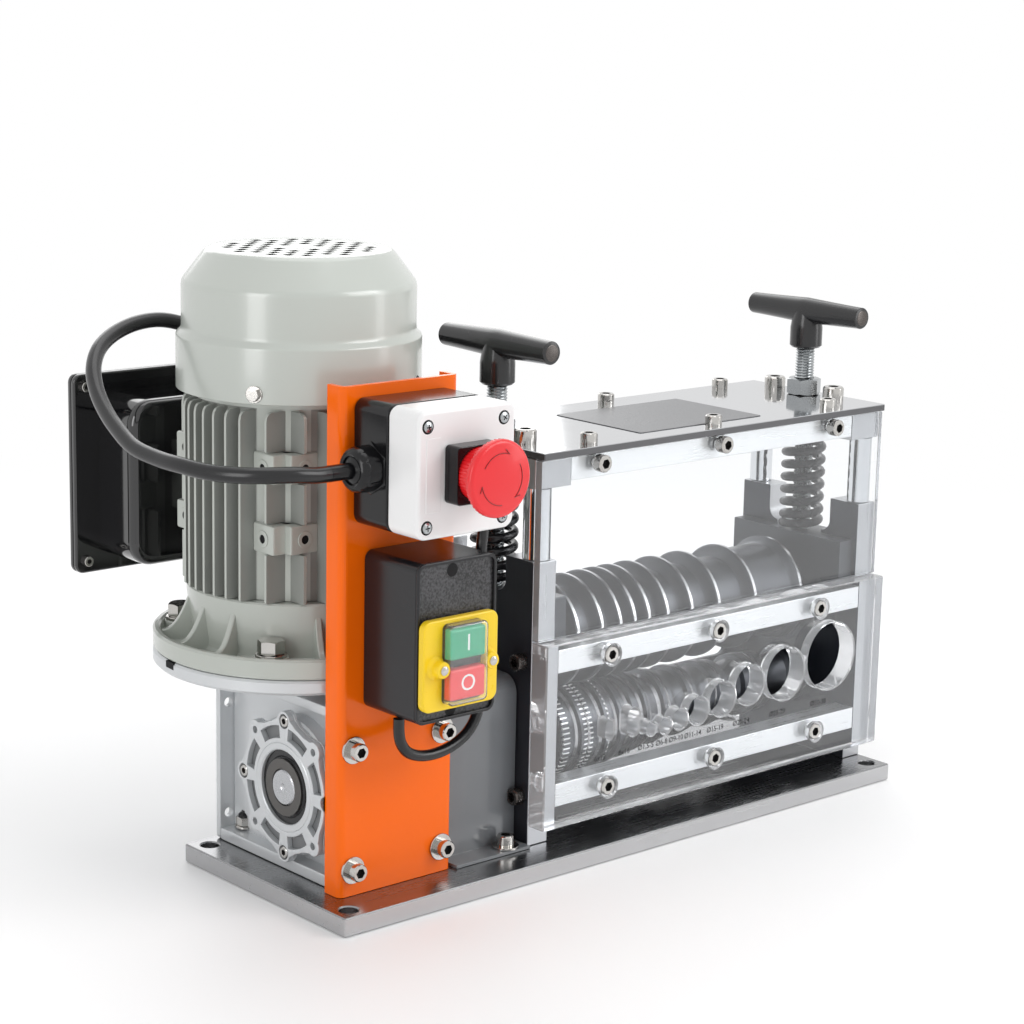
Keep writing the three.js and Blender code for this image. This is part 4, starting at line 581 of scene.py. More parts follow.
# Each finish: its slot, colour and roughness, and what else sets it off
FINISHES = {
    "base_steel": ["ground_steel", (0.288, 0.29, 0.297), 0.26, dict(
        metal=1, grain=LENGTHWISE, cloud=0.2, bump=0.1, spread=0.1, rough_spread=0.06)],
    "base_edge": ["ground_steel", (0.499, 0.499, 0.507), 0.25, dict(
        metal=1, grain=LENGTHWISE, bump=0.02, spread=0.06)],
    "ground_edge": ["turned_steel", (0.51, 0.518, 0.535), 0.26, dict(metal=1, grain=LENGTHWISE, bump=0.02)],
    "ground_steel": ["ground_steel", (0.468, 0.476, 0.493), 0.3, dict(metal=0.9, grain=UPRIGHT, bump=0.03)],
    "plate_steel": ["plate_steel", (0.518, 0.525, 0.54), 0.08, dict(
        metal=0.9, grain=CROSSWISE, rough_spread=0.02)],
    "plate_edge": ["plate_steel", (0.12, 0.12, 0.125), 0.3, dict(metal=0.8, grain=LENGTHWISE, bump=0.01)],
    "dark_steel": ["dark_steel", (0.036, 0.04, 0.05), 0.32, dict(
        metal=0.6, grain=UPRIGHT, spread=0.15, cloud=0.1, bump=0.02)],
    "block_steel": ["dark_steel", (0.055, 0.06, 0.068), 0.34, dict(
        metal=0.6, grain=UPRIGHT, spread=0.06, bump=0.01)],
    "chrome": ["chrome", (0.696, 0.713, 0.739), 0.07, dict(metal=1, grain=RINGS_Z, rough_spread=0.03)],
    "nickel": ["zinc", (0.522, 0.509, 0.487), 0.15, dict(metal=1, rough_spread=0.05)],
    "black_oxide": ["black_enamel", (0.1, 0.09, 0.085), 0.26, dict(metal=0.9, rough_spread=0.05, bump=0.01)],
    "zinc": ["zinc", (0.392, 0.409, 0.418), 0.27, dict(metal=1, spread=0.08, cloud=0.2, bump=0.02)],
    "turned_steel": ["turned_steel", (0.09, 0.094, 0.104), 0.34, dict(
        TURNED, metal=0.9, spread=0.015, rough_spread=0.02)],
    "rim_steel": ["turned_steel", (0.527, 0.527, 0.535), 0.24, dict(
        TURNED, metal=1, bump=0.004, spread=0.02)],
    "serrated_steel": ["turned_steel", (0.8, 0.8, 0.8), 0.35, dict(TURNED, metal=1, bump=0.01)],
    "sleeve_steel": ["turned_steel", (0.12, 0.115, 0.11), 0.34, dict(TURNED, metal=0.85, bump=0.01)],
    "aluminium": ["brushed_aluminium", (0.81, 0.819, 0.828), 0.32, dict(
        metal=0.9, grain=LENGTHWISE, scale=150, bump=0.3, spread=0.1, rough_spread=0.08)],
    "silver_paint": ["cast_aluminium", (0.62, 0.637, 0.65), 0.32, dict(
        CAST, metal=0.35, spread=0.02, rough_spread=0.03)],
    # Painted shade for the floor seen through the gearbox cover's windows
    "silver_shade": ["cast_aluminium", (0.2, 0.205, 0.21), 0.45, dict(CAST, metal=0.3)],
    "motor_enamel": ["motor_enamel", (0.47, 0.495, 0.455), 0.2, dict(ENAMEL, rough_spread=0.015)],
    "cowl_enamel": ["motor_enamel", (0.5, 0.53, 0.49), 0.26, dict(ENAMEL, specular=1, rough_spread=0.01)],
    # Painted shade for the root and the flanks between the motor's fins
    "motor_shade": ["motor_enamel", (0.27, 0.28, 0.26), 0.4, dict(scale=70, cloud=0.2)],
    "grey_enamel": ["grey_enamel", (0.15, 0.16, 0.17), 0.2, dict(ENAMEL, rough_spread=0.01)],
    "orange_enamel": ["orange_enamel", (1.0, 0.15, 0.0008), 0.16, dict(
        coat=0.1, scale=50, spread=0.01, cloud=0.2, specular=0.2, rough_spread=0.01)],
    "black_enamel": ["black_enamel", (0.01, 0.01, 0.011), 0.24, dict(coat=0.2, spread=0.1)],
    "gloss_black": ["gloss_black", (0.004, 0.004, 0.005), 0.08, dict(
        coat=0.8, spread=0.1, bump=0.004, rough_spread=0.03)],
    "spring_black": ["spring_steel", (0.012, 0.012, 0.014), 0.25, dict(
        metal=0.3, spread=0.2, scale=120, bump=0.01)],
    "black_plastic": ["black_plastic", (0.006, 0.006, 0.007), 0.18, dict(
        spread=0.1, rough_spread=0.03, specular=0.35)],
    "charcoal": ["charcoal_plastic", (0.012, 0.012, 0.014), 0.24, dict(spread=0.15, scale=150, specular=0.4)],
    "textured": ["charcoal_plastic", (0.034, 0.034, 0.037), 0.34, dict(
        spread=0.8, scale=100, bump=0.9, depth=0.3, speckle=0.09, rough_spread=0.08)],
    "white_plastic": ["white_plastic", (0.86, 0.86, 0.86), 0.25, dict(spread=0.006, rough_spread=0.03)],
    "red_plastic": ["red_plastic", (0.8, 0.014, 0.02), 0.24, dict(coat=0.2, spread=0.03)],
    "dark_red": ["red_plastic", (0.3, 0.003, 0.005), 0.4, dict(spread=0.03)],
    "green_plastic": ["green_plastic", (0.0, 0.36, 0.18), 0.25, dict(spread=0.03)],
    "yellow_plastic": ["yellow_plastic", (0.92, 0.63, 0.012), 0.3, dict(spread=0.02, bump=0.006)],
    "bronze": ["bronze", (0.5, 0.33, 0.13), 0.38, dict(metal=1, cloud=0.2, bump=0.04)],
    "rotor_iron": ["rotor_iron", (0.12, 0.11, 0.1), 0.45, dict(
        metal=0.6, grain=RINGS_Z, scale=200, bump=0.04)],
    "rubber": ["cable_rubber", (0.007, 0.007, 0.008), 0.24, dict(spread=0.1)],
    "ink": ["black_plastic", (0.012, 0.012, 0.014), 0.5, dict(spread=0.1)],
    "white_ink": ["white_plastic", (0.85, 0.85, 0.85), 0.4, dict(spread=0.01)],
    "label_face": ["brushed_aluminium", (0.15, 0.152, 0.16), 0.3, dict(metal=0.4, spread=0.03, bump=0.003)],
    # Near-black finish put in sockets, wells, slots, notches, bores and the grille's holes: painted shade
    "hollow": ["black_plastic", (0.006, 0.006, 0.007), 0.6, dict(spread=0.1, specular=0.2)],
    "acrylic": ["clear_acrylic", (0.97, 0.983, 0.995), 0.008, dict(
        rough_spread=0.004, clear=0.985, spread=0.003)],
    "acrylic_edge": ["clear_acrylic", (0.96, 0.97, 0.985), 0.04, dict(
        rough_spread=0.02, clear=0.72, spread=0.01)],
    "soft_clear": ["clear_soft", (0.96, 0.97, 0.97), 0.05, dict(rough_spread=0.02, clear=0.97, spread=0.01)],
}
made_finishes = {}


def finish(name):
    if name not in made_finishes:
        _, colour, rough, rest = FINISHES[name]
        made_finishes[name] = finish_of(name, colour, rough, **rest)
    return made_finishes[name]


# ---------------------------------------------------------------- what a user may change

COLOUR = dict(subtype="COLOR", size=3, min=0, max=1)


class StageSettings(bpy.types.PropertyGroup):
    floor_colour: bpy.props.FloatVectorProperty(
        name="Floor colour", description="Colour of the plain floor", default=(0.97, 0.97, 0.972), **COLOUR,
    )
    key_power: bpy.props.FloatProperty(
        name="Key light", description="Power of the large soft light from the front right", default=25.5,
        min=0, unit="POWER",
    )
    world_strength: bpy.props.FloatProperty(
        name="Surroundings", description="Brightness of the studio round the object", default=0.72, min=0,
    )


class HeadSettings(bpy.types.PropertyGroup):
    screw_head: bpy.props.FloatProperty(
        name="Screw head", description="Diameter of the small cap screws' heads, in millimetres",
        default=10.0, min=8, max=12,
    )
    guard_edge: bpy.props.FloatProperty(
        name="Guard edge", description="Polished bevel of the clear guards, in millimetres",
        default=1.5, min=0.2, max=2,
    )
    serrations: bpy.props.IntProperty(
        name="Serrations", description="Teeth round each serrated feed ring", default=60, min=24, max=120,
    )


class DriveSettings(bpy.types.PropertyGroup):
    motor_colour: bpy.props.FloatVectorProperty(
        name="Motor colour", description="Enamel of the motor and its flange",
        default=FINISHES["motor_enamel"][1], **COLOUR,
    )
    grille_cell: bpy.props.FloatProperty(
        name="Grille cell", description="Pitch of the chequered holes in the fan cover, in millimetres",
        default=6.6, min=3, max=9,
    )


class ControlSettings(bpy.types.PropertyGroup):
    bracket_colour: bpy.props.FloatVectorProperty(
        name="Bracket colour", description="Powder coat of the control bracket",
        default=FINISHES["orange_enamel"][1], **COLOUR,
    )
    frame_colour: bpy.props.FloatVectorProperty(
        name="Button frame colour", description="Moulded frame round the start and stop buttons",
        default=FINISHES["yellow_plastic"][1], **COLOUR,
    )


# ---------------------------------------------------------------- camera and cords


class SCENE_OT_stripper_camera(bpy.types.Operator):
    """Puts the camera where the reference view was taken from"""

    bl_idname = "scene.stripper_camera"
    bl_label = "Camera"

    def execute(self, context):
        azimuth, elevation, roll = (math.radians(a) for a in (-41.5, 12.17, 1.22))
        back = Vector((
            math.sin(azimuth) * math.cos(elevation), -math.cos(azimuth) * math.cos(elevation),
            math.sin(elevation),
        ))
        level = Vector((math.cos(azimuth), math.sin(azimuth), 0))
        right = level * math.cos(roll) + back.cross(level) * math.sin(roll)
        data = bpy.data.cameras.new("camera")
        data.sensor_width = 36
        data.lens = 89.05
        data.clip_start, data.clip_end = 0.05, 100
        camera = bpy.data.objects.new("camera", data)
        turn = Matrix((right, back.cross(right), back)).transposed().to_4x4()
        camera.matrix_world = Matrix.Translation(Vector((-974.2, -1055.3, 495.5)) * MM) @ turn
        context.scene.collection.objects.link(camera)
        context.scene.camera = camera
        return {"FINISHED"}


# Each cable's thickness, and its route from the part that it leaves
CABLES = {
    "motor_cable": (8.5, (
        (-220.3, -63.7, 245), (-228, -63.7, 245.2), (-240, -62, 246.5), (-253, -55, 246.5), (-262, -44, 246),
        (-269, -29, 246), (-273, -11, 247), (-274, 8, 247.5), (-274, 30, 250), (-271, 50, 256),
        (-267, 68, 263), (-262, 84, 271), (-255, 98, 280), (-244, 110, 288), (-229, 119, 294),
        (-210, 125, 298), (-191, 128, 298), (-174, 128, 293), (-162, 128, 283), (-157, 128, 271),
        (-156.5, 128, 264), (-156.5, 128, 257.5),
    )),
    "switch_cable": (6.0, (
        (-182, -75, 113.3), (-182, -75, 107), (-180.6, -75, 100), (-176, -75, 94), (-167, -75, 90.3),
        (-156, -75, 89.7), (-145, -75, 92), (-135, -75, 97.5), (-129, -74.6, 105), (-126.6, -74, 114),
        (-125.6, -73, 128), (-125, -72, 144), (-124.6, -71, 160), (-124, -70, 176), (-122.5, -68.6, 192),
        (-119.8, -67, 206), (-117.6, -65.4, 217), (-117, -64.2, 225), (-118.8, -63.4, 230.4),
        (-122.4, -63, 232), (-128.7, -63, 232),
    )),
}


class MESH_OT_stripper_cables(bpy.types.Operator):
    """Lays the motor's cable and the stop button's cable"""

    bl_idname = "mesh.stripper_cables"
    bl_label = "Cables"

    def execute(self, context):
        for name, (diameter, route) in CABLES.items():
            line = smooth_route(route)
            piece = make(f"{name}_jacket", "rubber", [tube(line, diameter / 2, 24)], name, smooth=50)
        return {"FINISHED"}


# ---------------------------------------------------------------- base, posts and plates


class MESH_OT_stripper_base(bpy.types.Operator):
    """Builds the base plate with its four holes and ground edges"""

    bl_idname = "mesh.stripper_base"
    bl_label = "Base plate"

    def execute(self, context):
        holes = [circle(x, y, 5.25) for x in (-205, 205) for y in (-63.5, 63.5)]
        slab = plate("z", rounded((-215, 215), (-73.5, 73.5), 0.8, 3), holes, (0, BASE_TOP), 0.7)
        make(
            "base", "base_steel base_edge", [slab], "base_plate",
            choose=lambda normal, centre: normal.z < 0.5,
        )
        return {"FINISHED"}


class MESH_OT_stripper_frame(bpy.types.Operator):
    """Finishes the head's plates, blocks and bars, and builds its posts and screws"""

    bl_idname = "mesh.stripper_frame"
    bl_label = "Head frame"

    def execute(self, context):
        size = context.scene.stripper_head.screw_head
        carried("back_guard", "dark_steel")
        for side in ("left", "right"):
            # An end plate's broad faces are dark, and its narrow ones are ground bright
            carried(
                f"end_plate_{side}", "dark_steel ground_steel",
                choose=lambda normal, centre: abs(normal.x) < 0.5,
            )
            carried(f"bearing_block_{side}", "block_steel")
            carried(f"end_block_{side}", "ground_steel")
        for node in ("top_bar_front", "top_bar_back", "tie_bar_upper", "tie_bar_lower"):
            carried(node, "aluminium", 0.3)
        profile = [
            (0, 166.2), (3.6, 166.2), (3.9, 166.6), (3.9, 175.2), (6.6, 175.2), (7, 175.6), (7, 215.4),
            (6.6, 215.8), (3.9, 215.8), (3.9, 224.4), (3.6, 224.8), (0, 224.8),
        ]
        for side, x in (("left", -59.4), ("right", 207.1)):
            for end, y in (("front", -41.2), ("back", 41.2)):
                post = turned(profile, at=(x, y, 0))
                make(f"post_{end}_{side}", "chrome", [post], f"guide_post_{end}_{side}")
        screw_set("side_screws", "side_socket_shade", [
            ((size, height, 5), (x, y, z), (sign, 0, 0), twist * z)
            for z in SCREW_LEVELS for y in (-41, 39)
            for x, sign, height, twist in ((HEAD_LEFT, -1, 6, 9), (HEAD_RIGHT, 1, 2.3, 7))
        ], "black_oxide")
        places = [((13, 8, 6), (x, y, PLATE_TOP), UP, 5 * y) for x in STUD_X for y in (-24.5, 24.5)]
        places += [
            ((size, 6, 5), (x, y, PLATE_TOP), UP, 3 * x) for x in (-25, 74, 173) for y in (-45.5, 45.5)
        ]
        screw_set("frame_screws", "frame_socket_shade", places)
        return {"FINISHED"}


class MESH_OT_stripper_top(bpy.types.Operator):
    """Builds the glossy top plate and the bare label plate on it"""

    bl_idname = "mesh.stripper_top"
    bl_label = "Top plate"

    def execute(self, context):
        outline = rounded((HEAD_LEFT, HEAD_RIGHT), (-55.7, 55.3), 1.0, 3)
        cover = plate("z", outline, [circle(x, 0, 6.3) for x in STUD_X], (232.7, PLATE_TOP), 0.4)
        make(
            "cover_plate", "plate_steel plate_edge", [cover], "top_plate",
            choose=lambda normal, centre: abs(normal.z) < 0.7,
        )
        label = plate("z", rounded((19.4, 119.5), (-41, 31), 1.5, 4), [], (PLATE_TOP, PLATE_TOP + 0.4), 0.12)
        make("label_plate", "label_face", [label])
        return {"FINISHED"}


# ---------------------------------------------------------------- clear guards


def slot_outline(x, z, radius, half):
    """A feed hole: round, or upright with round ends."""
    if not half:
        return circle(x, z, radius, 96)
    top = arc(x, z + half, radius, 0, math.pi, 32)
    return top + [(2 * x - u, 2 * z - v) for u, v in top]


class MESH_OT_stripper_guards(bpy.types.Operator):
    """Builds the two clear guards, their screws and the size under each feed hole"""

    bl_idname = "mesh.stripper_guards"
    bl_label = "Clear guards"

    def execute(self, context):
        settings = context.scene.stripper_head
        screw = (settings.screw_head, 6, 5)
        across = (HEAD_LEFT, HEAD_RIGHT)
        feed = [(x, z) for x in (-16.5, 70.6, 158.4) for z in SCREW_LEVELS]
        upper = [(x, 227.2) for x in (-24.6, 72.4, 168.5)]
        seat = 6.5
        # Faces look along Y, so a wall's normal tells a polished edge from the clear face
        sheet = plate(
            "y", rounded(across, (22.3, 129.7), 1.2, 4),
            [slot_outline(x, z, radius, half) for x, z, radius, half, *_ in STATIONS],
            (GUARD_FACE, GUARD_BACK), settings.guard_edge * 0.5, 1,
            [(circle(x, z, 6.1, 40), circle(x, z, 3.2, 40), seat + 0.1) for x, z in feed],
        )
        make(
            "feed_guard_sheet", "acrylic acrylic_edge", [sheet], "feed_guard",
            choose=lambda normal, centre: abs(normal.y) < 0.9,
        )
        holes = [circle(x, z, 3.2, 24) for x, z in upper]
        sheet = plate("y", rounded(across, (130.2, 232.4), 1.0, 4), holes, (UPPER_FACE, GUARD_BACK), 0.5, 2)
        make(
            "upper_guard_sheet", "acrylic acrylic_edge", [sheet], "upper_guard",
            choose=lambda normal, centre: abs(normal.y) < 0.5,
        )
        places = [(screw, (x, GUARD_FACE + seat, z), FRONT, x + z, 6.4) for x, z in feed]
        places += [(screw, (x, UPPER_FACE, z), FRONT, x, 5) for x, z in upper]
        screw_set("guard_screws", "guard_socket_shade", places)
        marks = [words(text, 4.5, (x, GUARD_FACE - 0.05, 57.8), weight=0.035) for *_, text, x in STATIONS]
        make("size_marks", "ink", marks, smooth=20)
        return {"FINISHED"}


# ---------------------------------------------------------------- rollers and blades


def toothed(x0, x1, radius, count):
    """A ring with square serrations along X, centred on the feed shaft."""
    depth = 0.9

    def shape(ring, k):
        return 1.0 if ring in (0, 3) or k % 4 < 2 else (radius - depth) / radius

    profile = [(radius - 3, x0), (radius, x0 + 0.3), (radius, x1 - 0.3), (radius - 3, x1)]
    return turned(profile, "x", (0, 0, FEED_AXIS), count * 4, loop=True, wave=shape)


class MESH_OT_stripper_rollers(bpy.types.Operator):
    """Turns the feed rollers and their shaft"""

    bl_idname = "mesh.stripper_rollers"
    bl_label = "Feed rollers"

    def execute(self, context):
        count = context.scene.stripper_head.serrations
        bore, hub, bright, flank, width = 10.25, 13.0, 17.5, 1.6, 6.0
        start, end = ends("feed_rollers")
        profile, teeth = [(hub, start)], []
        for number, (x, _, _, _, groove, rim, half, _, _) in enumerate(STATIONS):
            outer = half + flank
            a, b = x - outer - width, x + outer + width
            # Neighbours that would meet leave a gap between them
            if number:
                before = STATIONS[number - 1]
                a = max(a, (x - outer + before[0] + before[6] + flank) / 2 + 0.4)
            if number < len(STATIONS) - 1:
                after = STATIONS[number + 1]
                b = min(b, (x + outer + after[0] - after[6] - flank) / 2 - 0.4)
            a, b = max(a, start), min(b, end)
            low_rim = max(rim - 1.2, hub + 1)
            profile += [(hub, a), (low_rim, a), (rim, min(a + 1, x - outer - 0.3)), (rim, x - outer)]
            for turn in (math.pi * k / 6 for k in range(7)):
                profile.append((rim - (rim - groove) * math.sin(turn) ** 0.6, x - half * math.cos(turn)))
            profile += [(rim, x + outer), (rim, max(b - 1, x + outer + 0.3)), (low_rim, b), (hub, b)]
            if number < 2:
                for x0, x1 in ((a + 0.2, x - outer - 0.1), (x + outer + 0.1, b - 0.2)):
                    teeth.append(toothed(x0, x1, rim + 0.1, count))
        profile += [(hub, end), (bore, end), (bore, start)]
        at = (0, 0, FEED_AXIS)
        make(
            "rollers", "turned_steel rim_steel", [turned(profile, "x", at, 96, loop=True)], "feed_rollers",
            "drive", 26, lambda normal, centre: (
                0.5 < abs(normal.x) < 0.85 and math.hypot(centre.y, centre.z - FEED_AXIS) > bright
            ),
        )
        make("serrated_rings", "serrated_steel", teeth, body="drive", smooth=20)
        profile = [
            (0, -199.4), (2.2, -201.2), (9.2, -201.2), (10, -200.4), (10, 213.5), (9.2, 214.3), (0, 214.3),
        ]
        make("roller_shaft", "ground_edge", [turned(profile, "x", at, 48)], "feed_shaft", "drive")
        return {"FINISHED"}


class MESH_OT_stripper_blades(bpy.types.Operator):
    """Turns the slitting blades and their shaft"""

    bl_idname = "mesh.stripper_blades"
    bl_label = "Blades"

    def execute(self, context):
        start, end = ends("blade_stack")
        bore, collar, land = 10.3, 17.0, 32.0
        near_foot, wide_foot = 25.0, 28.0
        last = len(STATIONS) - 1
        profile = [
            (bore, start), (collar - 0.5, start), (collar, start + 0.5), (collar, STATIONS[0][0] - 6.0),
        ]
        for number, (x, *_) in enumerate(STATIONS):
            for side in (-1, 1):
                # The spacers beside the widest blade are thicker
                wide = number == last or (number == last - 1 and side > 0)
                foot = wide_foot if wide else near_foot
                flank = [
                    (foot + (land - 0.8 - foot) * (k / 5) ** 1.5, x + side * (5.2 - 3.4 * k / 5))
                    for k in range(6)
                ]
                flank.append((land, x + side * 1.0))
                profile += flank if side < 0 else flank[::-1]
        profile += [(collar, STATIONS[-1][0] + 6.0), (collar, end - 0.5), (collar - 0.5, end), (bore, end)]
        at = (0, 0, BLADE_AXIS)
        make(
            "blades", "turned_steel rim_steel", [turned(profile, "x", at, 96, loop=True)], "blade_stack",
            "blade_arbor", 22,
            lambda normal, centre: math.hypot(centre.y, centre.z - BLADE_AXIS) > land - 0.1,
        )
        a, b = ends("blade_shaft")
        profile = [(0, a), (9.4, a), (10, a + 0.6), (10, b - 0.6), (9.4, b), (0, b)]
        make("blade_rod", "ground_edge", [turned(profile, "x", at, 48)], "blade_shaft", "blade_arbor")
        return {"FINISHED"}


class MESH_OT_stripper_pressure(bpy.types.Operator):
    """Builds both pressure screws with their handles, lock nuts and springs"""

    bl_idname = "mesh.stripper_pressure"
    bl_label = "Pressure screws"

    def execute(self, context):
        grip, reach = 289.6, 44.6
        hub = turned([
            (0, 266.7), (8.6, 266.7), (10, 268), (10, 279), (9.4, 283), (8.4, 287), (8.0, grip), (0, grip),
        ], steps=48)
        bar = [(0, -reach), (4.4, -45), (6.2, -reach), (6.5, -44.2)]
        bar += [(6.5 + 1.5 * (1 - abs(k / 12)) ** 1.2, 3.68 * k) for k in range(-11, 12)]
        bar += [(6.5, 44.2), (6.2, reach), (4.4, 45), (0, reach)]
        handle = turned(bar, "y", (0, 0, grip), 40)
        tip = turned([(0, 0), (4.6, 0), (4.6, 0.4), (4.2, 0.62), (0, 0.62)], steps=32)
        low, high = 154.8, 213.2
        turns, steps, dead = 8, 26, 5.3
        rise = (high - low - 2 * dead) / (turns - 2)
        for side, x, start in zip(("left", "right"), STUD_X, (0.6, 2.1)):
            place = Matrix.Translation((x, 0, 0))
            body = f"{side}_tee"
            parts = [moved(part, place) for part in (hub, handle)]
            make(f"tee_handle_{side}", "black_enamel", parts, f"tee_screw_{side}", body, 35)
            stud = moved(threaded(6.0, (144.3, 268.0), 1.75), place)
            make(f"tee_stud_{side}", "zinc", [stud], body=body, smooth=50)
            tips = [put(tip, (x, sign * reach, grip), (0, sign, 0)) for sign in (-1, 1)]
            make(f"tee_ends_{side}", "black_oxide", tips, body=body)
            nut = moved(hexagonal(19, (PLATE_TOP + 0.2, PLATE_TOP + 10.2), 6.2), place)
            make(f"jam_nut_{side}", "zinc", [nut], f"lock_nut_{side}")
            coil = []
            for share in (k / steps for k in range(turns * steps + 1)):
                # The first and the last turn lie closed
                height = low + dead * (min(share, 1) + max(0, share - turns + 1))
                height += rise * max(0, min(share - 1, turns - 2))
                u, v = polar(11.5, 2 * math.pi * share + start)
                coil.append((x + u, v, height))
            spring = make(
                f"spring_{side}", "spring_black", [tube(coil, 2.5)], f"pressure_spring_{side}", smooth=60,
            )
            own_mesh(spring)
        return {"FINISHED"}


# ---------------------------------------------------------------- gearbox


def lobed():
    """The gearbox cover's outline: eight ears on a web."""
    points = []
    for lobe in range(8):
        middle = math.pi / 4 * lobe
        points += arc(*polar(COVER_BOLTS, middle), 5.6, middle - math.radians(75), math.radians(150), 10)
        points += [polar(36.6, middle + math.pi / 8 + share * 0.3) for share in (-0.35, 0, 0.35)]
    return points


def star_cover():
    """A gearbox cover made along X outwards, from the housing's face at zero."""
    windows, bores = [], []
    for k in range(8):
        middle, spread = math.pi / 8 + math.pi / 4 * k, 0.27
        window = arc(0, 0, 34.0, middle - spread, 2 * spread, 6)
        windows.append(window + arc(0, 0, 27.2, middle + spread, -2 * spread, 6))
        bores.append(circle(*polar(COVER_BOLTS, math.pi / 4 * k), 2.0 if k % 2 else 4.0, 24))
    outline = lobed()
    front = plate("x", outline, windows + bores + [circle(0, 0, 24.6, 72)], (COVER_FLOOR, 5.5), 0.5, 2)
    back = plate("x", outline, [circle(0, 0, 17.2, 64)], (0.02, COVER_FLOOR), 0.2)
    ring = [
        (20.6, COVER_FLOOR), (20.6, 5.0), (21.2, 5.6), (24.2, 5.6), (24.9, 5.0), (24.9, COVER_FLOOR),
    ]
    return joined(front, back, turned(ring, "x", steps=72, loop=True))


class MESH_OT_stripper_gearbox(bpy.types.Operator):
    """Builds the worm gearbox's covers, seals and screws round its cast housing"""

    bl_idname = "mesh.stripper_gearbox"
    bl_label = "Gearbox"

    def execute(self, context):
        self.housing()
        # The wheel's rim is bronze and its hub is the steel output sleeve
        hub = 17.5
        carried(
            "worm_wheel", "bronze sleeve_steel", 0.2,
            lambda normal, centre: math.hypot(centre.y, centre.z - FEED_AXIS) < hub,
        )
        carried("worm", "turned_steel", 0.2)
        lip = [
            (10.3, 2.0), (10.3, 3.2), (12, 3.6), (14.4, 3.6), (15.2, 4.3), (16.4, 4.3), (17.2, 3.4),
            (20.5, 3.4), (20.5, 2.0),
        ]
        cut = -36.0
        for side, face, sign in (("left", HOUSING_LEFT, -1), ("right", HOUSING_RIGHT, 1)):
            # The cover is cut off level with the bracket's plate, as the frame's is
            cover, seal = (
                ([(face + sign * x, max(y, cut), FEED_AXIS + z) for x, y, z in points], faces)
                for points, faces in (star_cover(), turned(lip, "x", steps=72, loop=True))
            )
            # The back plate's face seen through the windows takes a darker finish: painted shade
            make(
                f"cover_{side}", "silver_paint silver_shade", [cover], f"gearbox_cover_{side}", smooth=28,
                merge=False,
                choose=lambda normal, centre: (
                    abs(normal.x) > 0.9 and abs(abs(centre.x - face) - COVER_FLOOR) < 0.05
                ),
            )
            make(f"seal_{side}", "rubber", [seal])
            places = []
            for k in range(0, 8, 2):
                y, z = polar(COVER_BOLTS, math.pi / 4 * k)
                # They stand behind the bracket's plate
                if y > -30:
                    point = (face + sign * COVER_FLOOR, y, FEED_AXIS + z)
                    places.append(((6.6, 3.4, 3.2), point, (sign, 0, 0), 11 * k))
            screw_set(f"cover_screws_{side}", f"cover_socket_shade_{side}", places)
        # The foot's stud stands in its pocket: washer, nut and the nut's black locking ring
        foot = (-184.6, 57.5, 18.7)
        make("foot_nut", "nickel", [
            put(joined(hexagonal(10, (1.3, 6.3), 2.6), disc(3.2, 6.4, (0, 1.3))), foot),
        ], smooth=28)
        profile = [(0, 6.2), (4.4, 6.2), (4.4, 7.2), (3.2, 8.4), (2.6, 8.6), (2.4, 9.8), (0, 9.8)]
        make("foot_ring", "black_plastic", [put(turned(profile, steps=32), foot)])
        return {"FINISHED"}

    def housing(self):
        """The casting: a narrower body between its foot, its flange and the round seats of the covers."""
        x0, x1, front, low, high = HOUSING_LEFT, HOUSING_RIGHT, -45.8, 10.7, 110.0
        seat = [(0, x0), (37, x0), (38, x0 + 1), (38, x1 - 1), (37, x1), (0, x1)]
        tunnel = [(0, low + 2), (24, low + 2), (25, low + 3), (25, high - 1), (0, high - 1)]
        holes = [circle(MOTOR_X + x, z, 2.6, 24) for x in (-28, 28) for z in (25.5, 90.0)]
        make("cast_housing", "silver_paint", [
            box((x0 + 9, x1 - 9), (front + 1, 67.5), (low + 1, high - 0.4), 2.5, 3),
            box((x0, x1), (front, 67.2), (low, low + 7), 1.2),
            box((x0 + 3, x1 - 3), (front, 67.2), (high - 6, high), 1.2),
            turned(seat, "x", (0, 0, FEED_AXIS), 96),
            # The worm's tunnel stands up the back half
            turned(tunnel, "z", MOTOR, 72),
            box((x0, x1), (front, front + 5), (low, 101), 1.2),
            plate("y", rounded((x0, x1), (low, high), 2.5, 5), holes, (67, 71.2), 0.8, 2),
        ], "gearbox_housing", smooth=28, merge=False)


# ---------------------------------------------------------------- motor


